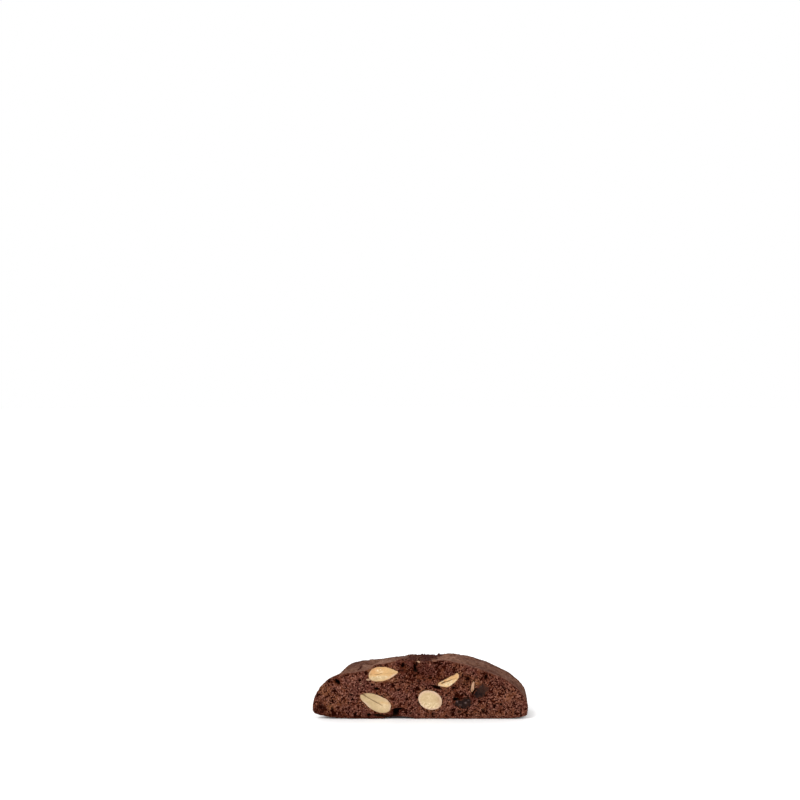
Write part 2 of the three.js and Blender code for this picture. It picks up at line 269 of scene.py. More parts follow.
def ease(values, low, high):
    share = np.clip((values - low) / (high - low), 0, 1)
    return share * share * (3 - 2 * share)


def relax(mesh, rounds, hold=None):
    """Evens out the vertices; hold is 1 where a vertex stays."""
    points = points_of(mesh)
    pairs = np.empty(len(mesh.edges) * 2, np.int32)
    mesh.edges.foreach_get("vertices", pairs)
    first, second = pairs.reshape(-1, 2).T
    count = np.bincount(first, minlength=len(points)) + np.bincount(second, minlength=len(points))
    free = RELAX_STEP if hold is None else RELAX_STEP * (1 - hold[:, None])
    for _ in range(rounds):
        total = np.zeros_like(points)
        for axis in range(3):
            total[:, axis] += np.bincount(first, points[second, axis], len(points))
            total[:, axis] += np.bincount(second, points[first, axis], len(points))
        points += free * (total / count[:, None] - points)
    set_points(mesh, points)


def finish_piece(piece, material, node):
    """Turns the piece into metres, smooths and dresses it, and puts it in its CAD node's place."""
    piece.data.transform(Matrix.Scale(MM, 4))
    piece.data.polygons.foreach_set("use_smooth", [True] * len(piece.data.polygons))
    piece.data.materials.clear()
    piece.data.materials.append(material)
    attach(piece, BODY)
    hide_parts(node)


# ---------- how deep a point lies under the baked surface ----------
class Crust:
    """Heights of the baked surface, felt with rays from above, below and both ends."""

    STEP = (0.3, 0.5)  # between rays: along a row, and through the thickness
    INSET = 0.15  # the outermost rays are this far inside the faces and the base
    END_INSET = 0.1  # and this far inside the left end
    BRIDGE = 6  # grid steps that the fissures are bridged over
    FAR = 60.0  # the rays start this far out
    MISSED = 99.0  # stands for a surface where a ray meets none
    LAST = 1.001  # keeps a reading inside the grid's last cell

    def __init__(self, mesh):
        self.tree = BVHTree.FromPolygons([v.co for v in mesh.vertices], [p.vertices for p in mesh.polygons])
        points = points_of(mesh)
        low, high = points.min(0), points.max(0)
        self.depths = np.arange(FRONT_Y + self.INSET, BACK_Y, self.STEP[1])
        self.lengths = np.arange(low[0] + self.END_INSET, high[0], self.STEP[0])
        self.heights = np.arange(self.INSET, high[2], self.STEP[0])
        self.top = self.bridged(self.felt((0, 0, -1)))
        self.base = self.felt((0, 0, 1))
        self.left = self.felt((1, 0, 0))
        self.right = self.felt((-1, 0, 0))

    def felt(self, way):
        """Where rays that go one way, up, down or along the length, first meet the dough."""
        read_axis, row_axis, rows = (0, 2, self.heights) if way[0] else (2, 0, self.lengths)
        grid = np.full((len(rows), len(self.depths)), way[read_axis] * self.MISSED)
        for i, row in enumerate(rows):
            for j, depth in enumerate(self.depths):
                start = Vector((0.0, depth, 0.0))
                start[row_axis] = row
                start[read_axis] = -way[read_axis] * self.FAR
                hit = self.tree.ray_cast(start, Vector(way))[0]
                if hit is not None:
                    grid[i, j] = hit[read_axis]
        return grid

    def bridged(self, grid):
        """Closes what is narrower than the bridge: a highest, then a lowest, of the neighbours."""
        for pick, edge in ((np.maximum, -self.MISSED), (np.minimum, self.MISSED)):
            best = grid.copy()
            for shift in range(1, self.BRIDGE + 1):
                ahead = np.pad(grid, ((0, shift), (0, 0)), constant_values=edge)[shift:]
                behind = np.pad(grid, ((shift, 0), (0, 0)), constant_values=edge)[:-shift]
                best = pick(best, pick(ahead, behind))
            grid = best
        return grid

    def read(self, grid, rows, start, points):
        """The grid at each point, blended from the four rays round it."""
        row = np.clip((rows - start) / self.STEP[0], 0, grid.shape[0] - self.LAST)
        column = np.clip((points[:, 1] - self.depths[0]) / self.STEP[1], 0, grid.shape[1] - self.LAST)
        i, j = row.astype(int), column.astype(int)
        past_i, past_j = row - i, column - j
        here = grid[i, j] * (1 - past_j) + grid[i, j + 1] * past_j
        after = grid[i + 1, j] * (1 - past_j) + grid[i + 1, j + 1] * past_j
        return here * (1 - past_i) + after * past_i

    def depth(self, points):
        """How far each point lies under the nearest baked surface."""
        x, z = points[:, 0], points[:, 2]
        under_top = self.read(self.top, x, self.lengths[0], points) - z
        over_base = z - self.read(self.base, x, self.lengths[0], points)
        in_left = x - self.read(self.left, z, self.heights[0], points)
        in_right = self.read(self.right, z, self.heights[0], points) - x
        return np.minimum(np.minimum(under_top, over_base), np.minimum(in_left, in_right))


# ---------- the dough ----------
def new_relief_tree(name, numbers):
    """An empty Geometry Nodes tree with a mesh, a material and the named numbers as its inputs."""
    tree = bpy.data.node_groups.new(name, "GeometryNodeTree")
    face = tree.interface
    face.new_socket("Geometry", in_out="INPUT", socket_type="NodeSocketGeometry")
    face.new_socket("Geometry", in_out="OUTPUT", socket_type="NodeSocketGeometry")
    face.new_socket("Material", in_out="INPUT", socket_type="NodeSocketMaterial")
    for label, value in numbers.items():
        kind = "NodeSocketInt" if isinstance(value, int) else "NodeSocketFloat"
        face.new_socket(label, in_out="INPUT", socket_type=kind).default_value = value
    graph = Graph(tree)
    return graph, graph.node("NodeGroupInput")


def end_tree(graph, geometry, inputs):
    """Ends a tree in plain geometry with its material."""
    real = graph.node("GeometryNodeRealizeInstances", {}, {"Geometry": geometry})
    dressed = graph.node(
        "GeometryNodeSetMaterial", {}, {"Geometry": real, "Material": inputs.out("Material")}
    )
    graph.node("NodeGroupOutput", {}, {"Geometry": dressed})


def apply_tree(piece, graph, material, numbers):
    """Runs a tree on a piece and keeps the result as its plain mesh."""
    modifier = piece.modifiers.new("relief", "NODES")
    modifier.node_group = graph.tree
    for item in graph.tree.interface.items_tree:
        if item.in_out != "INPUT" or item.socket_type == "NodeSocketGeometry":
            continue
        modifier[item.identifier] = material if item.name == "Material" else numbers[item.name]
    bake_mesh(piece)


def attribute(graph, name):
    return graph.node("GeometryNodeInputNamedAttribute", {"data_type": "FLOAT"}, {"Name": name}, "Attribute")


def stored(graph, geometry, name, value):
    settings = {"data_type": "FLOAT", "domain": "POINT"}
    values = {"Geometry": geometry, "Name": name, "Value": value}
    return graph.node("GeometryNodeStoreNamedAttribute", settings, values, "Geometry")


SEED_DRIFT = 13.7  # from one seed to the next, the patterns are shifted this far
DOUGH_RELIEF = {
    "Seed": 7,
    "Warp": 0.3,  # the pores are pulled out of round by this
    "Sponge size": 0.7,  # from one small hole to the next
    "Sponge depth": 0.32,
    "Pin size": 0.95,
    "Pin depth": 0.3,
    "Pore size": 2.3,
    "Pore depth": 0.8,
    "Granule size": 0.42,
    "Granule height": 0.13,
    "Ragged": 0.2,
    "Swell": 0.4,
    "Crust wrinkle": 0.16,
    "Crust dimple": 0.5,
    "Crack size": 3.4,
    "Crack depth": 0.2,
    "Crease depth": 0.3,
    "Chip height": 0.35,
    "Torn middle": 1.0,  # the crown tore open along here,
    "Torn half": 5.8,  # this far to either side,
    "Torn slant": 0.38,  # further along the length towards the back,
    "Torn stray": 11.0,  # and with edges that wander by up to half of this
    "Torn depth": 0.4,
    "Torn grain": 0.14,
    "Torn sponge": 0.3,
    "Rubble size": 1.15,
    "Rubble": 0.95,
}
# Noise that leads the dough's relief: scale on millimetres, detail, roughness.
PULL = (1.1, 2.0)
SLOW = (0.3, 2.0)
JITTER = (2.6, 3.0)
SPONGE = (3.0, 0.6)  # detail and roughness only, because sponge and pores have their size from the tree
PORES = (2.5, 0.55)
RAGGED = (2.2, 4.0, 0.65)
STRAY = (0.3, 4.0, 0.62)
CLODS = (0.6, 4.0, 0.6)
VEINS = (0.62, 4.0, 0.6)
WRINKLES = (1.7, 3.0)
DIMPLES = (0.3, 3.0)
CRACKED = (0.28, 2.0)


class DoughTree:
    """The dough's relief: open crumb on the cut faces, skin and a torn strip on the crust."""

    def __init__(self):
        graph, given = new_relief_tree("dough_relief", DOUGH_RELIEF)
        self.graph, self.given = graph, given
        self.place = graph.node("GeometryNodeInputPosition")
        drift = graph.node("ShaderNodeCombineXYZ", {}, {"X": given.out("Seed") * SEED_DRIFT})
        self.spot = graph.vector("ADD", self.place, drift)
        self.pull = graph.shove(self.spot, *PULL)
        self.bent = graph.vector("ADD", self.spot, graph.scaled(self.pull, given.out("Warp") * 2))
        self.slow = graph.noise(self.spot, *SLOW) - 0.5
        self.open_holes()
        self.write()

    def open_holes(self):
        """Sponge, pores and pinholes, each 1 where it is open, and the granules between them."""
        graph, given, bent = self.graph, self.given, self.bent
        sponge = graph.noise(bent, 1 / given.out("Sponge size"), *SPONGE) + self.slow * 0.12
        self.sponge = sponge.ease(0.49, 0.38)
        self.pore = graph.noise(bent, 1 / given.out("Pore size"), *PORES).ease(0.38, 0.31)
        pins = graph.cells(bent, 1 / given.out("Pin size"))
        self.luck = graph.cell_luck(pins, "Red")
        self.pin = (pins - self.luck * 0.22).ease(0.2, 0.02)
        self.granule = graph.cells(bent, 1 / given.out("Granule size")).ease(0.05, 0.62, 1.0, 0.0)

    def crumb(self):
        """How far the cut crumb stands out, and how hollow it is."""
        given = self.given
        ragged = self.graph.noise(self.spot, *RAGGED) - 0.5
        open_crumb = attribute(self.graph, "depth").ease(0.1, 0.7)  # it is closed just under the crust
        holes = (self.sponge * given.out("Sponge depth")).most(self.pin * given.out("Pin depth"))
        holes = holes + self.pore * given.out("Pore depth")
        rise = self.granule * given.out("Granule height") + ragged * given.out("Ragged") * 1.6
        rise = rise + self.slow * given.out("Swell") - holes * open_crumb
        rise = rise - given.out("Granule height") * 0.5
        return rise, (self.sponge * 0.8).most(self.pore).most(self.pin * 0.85) * open_crumb

    def tear(self):
        """Where the crust is torn open over the crown, and how far the crags there stand out."""
        graph, given, bent = self.graph, self.given, self.bent
        length = graph.node("ShaderNodeSeparateXYZ", {}, {"Vector": self.place}, "X")
        strayed = length - given.out("Torn middle") - length.out("Y") * given.out("Torn slant")
        strayed = strayed + (graph.noise(self.spot, *STRAY) - 0.5) * given.out("Torn stray")
        torn = (abs(strayed) / given.out("Torn half")).ease(0.86, 0.98, 1.0, 0.0)
        lumps = graph.cells(bent, 1 / given.out("Rubble size"))
        rubble = lumps.ease(0.1, 0.8, 1.0, -0.3) * (graph.cell_luck(lumps, "Green") * 0.9 + 0.1)
        rubble = rubble + (graph.noise(bent, *CLODS) - 0.5) * 1.6
        rise = rubble * given.out("Rubble") + self.granule * given.out("Torn grain")
        rise = rise - self.sponge * given.out("Torn sponge") - given.out("Torn depth")
        return torn * attribute(graph, "top"), rise

    def skin(self):
        """How far the whole crust stands out, how hollow it is, and where its ridges are."""
        graph, given, spot = self.graph, self.given, self.spot
        vein = 1 - abs(graph.noise(self.bent, *VEINS) - 0.5) * 8
        wrinkle = (graph.noise(spot, *WRINKLES) - 0.5 - vein.most(0.0) * 0.8) * given.out("Crust wrinkle")
        dimple = graph.noise(spot, *DIMPLES) - 0.5
        straying = graph.vector("ADD", self.bent, graph.scaled(self.pull, 1.6))
        net = graph.cells(straying, 1 / given.out("Crack size"), "DISTANCE_TO_EDGE")
        crack = net.ease(0.01, 0.04, 1.0, 0.0) * graph.noise(spot, *CRACKED).ease(0.47, 0.58)
        pit = self.pin * (self.luck > 0.86)
        rise = wrinkle + dimple * given.out("Crust dimple")
        rise = rise - (crack + pit).least(1.0) * given.out("Crack depth")
        rise = rise - attribute(graph, "fold") * given.out("Crease depth")
        return rise, crack + pit * 0.7, wrinkle * 4 + dimple * 0.5 + 0.5

    def write(self):
        """Blends crumb, torn strip and skin, and moves the surface by them."""
        graph, given = self.graph, self.given
        crust = attribute(graph, "crust")
        crumb_rise, crumb_hollow = self.crumb()
        torn, torn_rise = self.tear()
        skin_rise, skin_hollow, ridge = self.skin()
        crust_rise = skin_rise * (1 - torn) + torn_rise * torn
        rise = crumb_rise * (1 - crust) + crust_rise * crust
        rise = rise + attribute(graph, "chip") * given.out("Chip height")
        loose = (1 - crust).most(torn) * given.out("Ragged") * 1.5
        outwards = graph.scaled(graph.node("GeometryNodeInputNormal"), rise)
        moved = graph.vector("ADD", outwards, graph.scaled(graph.shove(self.spot, *JITTER), loose))
        hollow = crumb_hollow * (1 - crust) + crust * torn * self.sponge
        geometry = stored(graph, given.out("Geometry"), "cavity", hollow + skin_hollow * crust * (1 - torn))
        geometry = stored(graph, geometry, "granule", self.granule)
        geometry = stored(graph, geometry, "torn", torn * crust)
        geometry = stored(graph, geometry, "ridge", ridge)
        shaped = graph.node("GeometryNodeSetPosition", {}, {"Geometry": geometry, "Offset": moved})
        end_tree(graph, shaped, given)


FOLD = ((-21.9, -5.7), (-21.2, -3.8), (-20.7, -1.0), (-20.4, 1.4), (-20.1, 5.0))  # a crease in the crust
FOLD_HALF = 0.36
FOLD_EDGE = (0.3, 1.6)  # it is deepest to here and ends there, in half widths
FOLD_FADE = (0.3, 0.7)  # it grows shallower between these shares of its length
FOLD_LOST = 0.6  # by this share of its depth
FLAT_CUT = (0.5, 0.85)  # how far a surface has to face the front or the back to be a cut face
FACING_UP = (0.2, 0.6)  # and to face up to be the top crust
FACING_DOWN = (0.6, 0.9)
UNDERSIDE = (0.4, 1.2)  # the underside's colour fades out at this height
CHIP_EDGE = (0.3, 0.45)  # a chip of almond begins and is whole at these amounts
CHIP_DEPTH = (0.5, 0.9)  # and lies no deeper behind the front face
DEEPEST = 10.0  # depths under the crust are told apart down to here
FACE_SHARE = 3.0  # marks of the two cut faces are blended between this far behind each
ALMOND_HALO = (0.15, 1.2)  # the crumb is warmer this near an almond
HALO_WARMTH = 0.8
SUNK = (0.25, 1.3)  # painted shade: it is darker this far behind a cut face, down in its hollows
SUNK_RIM = (0.3, 1.0)  # but not this near under the crust
MOST_PROUD = 0.4  # its grains stand out of a cut face by no more than this

# Where the crumb is darker than the rest, or lighter where the amount is below 0: painted shade in its
# hollows, along its base and beside the pieces, with some darker crumb among it. x, z, half width, half
# height, amount.
FRONT_SHADES = (
    (-1.5, 16.5, 4.6, 3.6, 0.4),
    (6.5, 15.5, 5.5, 3.0, 0.3),
    (-6.3, 18.5, 1.2, 1.5, 0.62),
    (-6.6, 16.6, 1.4, 0.7, 0.55),
    (-2.2, 18.4, 0.7, 1.3, 0.6),
    (-1.9, 16.8, 0.7, 0.6, 0.85),
    (-34.8, 3.4, 2.2, 1.9, 0.3),
    (-36.0, 2.7, 0.5, 0.5, 0.6),
    (-33.8, 2.6, 0.8, 0.45, 0.7),
    (-32.9, 4.5, 0.4, 0.4, 0.5),
    (-35.1, 4.5, 0.4, 0.4, 0.5),
    (-31.0, 1.3, 5.0, 0.7, 0.7),
    (-21.0, 0.4, 8.0, 0.6, 0.7),
    (-18.1, 1.4, 0.8, 0.45, 1.2),
    (-15.2, 1.5, 1.5, 0.3, 1.3),
    (-12.4, 1.1, 3.4, 0.7, 0.9),
    (-8.7, 2.4, 1.3, 1.4, 1.35),
    (-7.0, 3.5, 1.0, 0.5, 0.9),
    (5.4, 10.9, 1.9, 0.55, 1.0),
    (-29.1, 13.2, 0.8, 0.9, 1.1),
    (-28.3, 12.4, 0.7, 0.8, 1.0),
    (-31.6, 13.2, 0.7, 0.7, 0.8),
    (16.2, 13.8, 1.0, 1.2, 0.8),
    (22.4, 14.4, 0.8, 1.0, 0.8),
    (21.6, 13.4, 0.6, 0.6, 0.6),
    (11.3, 10.8, 0.9, 0.8, 0.7),
    (13.4, 13.3, 0.5, 0.8, 0.6),
    (12.3, 6.7, 1.2, 0.6, 1.7),
    (15.2, 7.2, 1.6, 0.4, 0.7),
    (18.4, 9.4, 0.8, 1.3, 0.9),
    (18.0, 7.8, 0.7, 0.5, 0.7),
    (-15.3, 10.4, 1.2, 0.6, 1.1),
    (-18.4, 14.3, 0.7, 0.4, 0.8),
    (-22.3, 11.6, 0.8, 0.5, 0.6),
    (-11.9, 13.0, 0.8, 0.5, 0.6),
    (-24.5, 10.5, 6.0, 3.4, -0.25),
    (28.0, 7.0, 6.5, 4.0, -0.1),
    (-3.5, 4.0, 3.4, 2.4, -0.2),
)
BACK_SHADES = (
    (4.0, 15.2, 5.0, 3.0, 0.4),
    (-22.0, 5.0, 4.0, 3.0, 0.3),
    (30.5, 4.2, 3.0, 2.6, 0.4),
    (20.5, 11.0, 5.5, 3.4, -0.25),
    (-10.0, 7.0, 6.0, 3.4, -0.2),
)

# Where the crumb is warmer, in the same terms.
FRONT_WARMTH = (
    (19.4, 12.6, 1.3, 1.1, 1.6),
    (15.0, 12.6, 1.6, 2.2, 0.5),
    (13.6, 15.8, 0.9, 1.1, 0.9),
    (0.3, 9.9, 1.6, 1.2, 0.7),
    (-9.6, 13.4, 1.8, 1.0, 0.9),
    (-17.6, 17.4, 1.0, 0.9, 1.2),
    (-16.0, 12.4, 1.2, 0.6, 0.8),
    (-12.0, 7.9, 1.4, 1.0, 0.8),
    (-33.8, 10.6, 1.8, 2.6, 0.8),
    (-31.2, 3.9, 1.2, 1.4, 0.8),
    (22.0, 1.8, 12.0, 1.6, 0.3),
    (-30.0, 6.5, 4.0, 3.4, 0.4),
    (30.0, 8.0, 4.0, 4.0, 0.3),
)
BACK_WARMTH = (
    (-14.0, 2.4, 9.0, 2.0, 0.5),
    (21.0, 4.0, 8.0, 3.0, 0.4),
    (0.0, 12.0, 3.0, 2.0, 0.4),
)

# Where the crust is darker than the rest, or dustier where the amount is below 0: x, y, half length,
# half depth, amount.
CRUST_PATCHES = (
    (-18.5, 4.6, 1.0, 1.7, 0.6),
    (-21.8, 5.4, 1.5, 1.3, 0.5),
    (-20.3, 6.8, 0.6, 0.8, 0.9),
    (-23.6, 1.8, 1.4, 2.4, 0.35),
    (-25.4, -2.0, 1.0, 2.0, 0.25),
    (-6.5, 6.4, 6.0, 1.6, 0.5),
    (-5.0, -1.5, 2.6, 4.0, 0.5),
    (2.4, 1.5, 3.4, 7.0, 0.9),
    (16.0, 2.5, 3.0, 2.0, 0.3),
    (26.0, -1.5, 2.0, 2.4, 0.25),
    (-25.2, 4.4, 1.2, 1.2, -0.3),
    (-19.2, -0.4, 1.0, 2.6, -0.3),
    (-13.5, -2.0, 2.4, 1.6, -0.25),
    (11.0, -2.5, 2.6, 2.0, -0.25),
    (21.5, 2.0, 2.0, 2.4, -0.25),
)

# Small chips of almond stuck in the front face: x, z, half width, half height, amount.
CHIPS = (
    (-18.1, 13.65, 0.8, 0.28, 1.0),
    (-1.05, 19.95, 0.42, 0.24, 0.9),
    (-0.6, 19.65, 0.36, 0.22, 0.8),
    (-20.7, 12.3, 0.3, 0.24, 0.6),
    (24.9, 3.4, 0.28, 0.2, 0.6),
)


def off_line(across, up, line):
    """Each point's distance from a line of straight stretches, and how far along the line it lies."""
    nearest, along = np.full(len(across), np.inf), np.zeros(len(across))
    for step, ((x0, z0), (x1, z1)) in enumerate(zip(line, line[1:])):
        run = np.array((x1 - x0, z1 - z0))
        share = np.clip(((across - x0) * run[0] + (up - z0) * run[1]) / (run @ run), 0, 1)
        away = np.hypot(across - x0 - share * run[0], up - z0 - share * run[1])
        along = np.where(away < nearest, (step + share) / (len(line) - 1), along)
        nearest = np.minimum(nearest, away)
    return nearest, along


def tapered(share):
    """A line's width along its length: nearly 1 at its middle and a third at its ends."""
    return 0.35 + 2.4 * share * (1 - share)


def soft_spots(across, up, spots):
    """Soft oval spots, added up: across, up, half width, half height, amount."""
    total = np.zeros(len(across))
    for x, z, half_width, half_height, amount in spots:
        total += amount * np.exp(-(((across - x) / half_width) ** 2) - ((up - z) / half_height) ** 2)
    return total


def spotted(points, front_spots, back_spots):
    """The spots of both cut faces, each fading towards the other face."""
    front = 1 - ease(points[:, 1], FRONT_Y + FACE_SHARE, BACK_Y - FACE_SHARE)
    x, z = points[:, 0], points[:, 2]
    return soft_spots(x, z, front_spots) * front + soft_spots(x, z, back_spots) * (1 - front)


def nearness(points, nodes, reach):
    """1 beside the named CAD pieces, fading to 0 further away."""
    corners, faces = [], []
    for node in nodes:
        mesh = cad_copy(node)
        start = len(corners)
        corners += [v.co.copy() for v in mesh.vertices]
        faces += [[start + i for i in p.vertices] for p in mesh.polygons]
        bpy.data.meshes.remove(mesh)
    tree = BVHTree.FromPolygons(corners, faces)
    away = np.array([tree.find_nearest(Vector(point))[3] for point in points])
    return 1 - ease(away, *reach)


def mark_dough(mesh, crust):
    """Stores what the relief is led by: crust, depth under it, crease, chips and the like."""
    points, normals = points_of(mesh), normals_of(mesh)
    depth = crust.depth(points)
    baked_side = (1 - ease(depth, *CRUST_SHARP)) * (1 - ease(np.abs(normals[:, 1]), *FLAT_CUT))
    top = ease(normals[:, 2], *FACING_UP) * baked_side
    store(mesh, "crust", baked_side)
    store(mesh, "depth", np.clip(depth, 0, DEEPEST))
    store(mesh, "top", top)
    store(mesh, "under", ease(-normals[:, 2], *FACING_DOWN) * (1 - ease(points[:, 2], *UNDERSIDE)))
    away, along = off_line(points[:, 0], points[:, 1], FOLD)
    half = FOLD_HALF * tapered(along)
    crease = 1 - ease(away, FOLD_EDGE[0] * half, FOLD_EDGE[1] * half)
    store(mesh, "fold", crease * (1 - FOLD_LOST * ease(along, *FOLD_FADE)) * top)
    near_front = 1 - ease(points[:, 1] - FRONT_Y, *CHIP_DEPTH)
    store(mesh, "chip", ease(spotted(points, CHIPS, ()), *CHIP_EDGE) * near_front)
    sunk = np.minimum(points[:, 1] - FRONT_Y, BACK_Y - points[:, 1])
    # painted shade down in the hollows behind the cut faces
    store(mesh, "sunk", ease(sunk, *SUNK) * ease(depth, *SUNK_RIM) * (1 - baked_side))


def keep_in_reach(mesh):
    """Holds the grains back to what may stand out of a cut face, and above the base."""
    points = points_of(mesh)
    points[:, 1] = np.clip(points[:, 1], FRONT_Y - MOST_PROUD, BACK_Y + MOST_PROUD)
    points[:, 2] = np.maximum(points[:, 2], 0)
    set_points(mesh, points)


def tint_dough(mesh):
    """Stores where the material is darker, with painted shade in places, dustier or warmer."""
    points = points_of(mesh)
    warmth = HALO_WARMTH * nearness(points, ALMONDS, ALMOND_HALO)
    store(mesh, "shade", spotted(points, FRONT_SHADES, BACK_SHADES))
    store(mesh, "patch", soft_spots(points[:, 0], points[:, 1], CRUST_PATCHES))
    store(mesh, "warmth", warmth + spotted(points, FRONT_WARMTH, BACK_WARMTH))


def make_dough(material):
    piece = link("dough", cad_copy("crumb"))
    crust = Crust(piece.data)
    remesh(piece, DOUGH_GRID)
    relax(piece.data, DOUGH_ROUNDS)
    mark_dough(piece.data, crust)
    apply_tree(piece, DoughTree().graph, material, DOUGH_RELIEF)
    keep_in_reach(piece.data)
    thin_out(piece, DOUGH_FACES)
    tint_dough(piece.data)
    finish_piece(piece, material, "crumb")
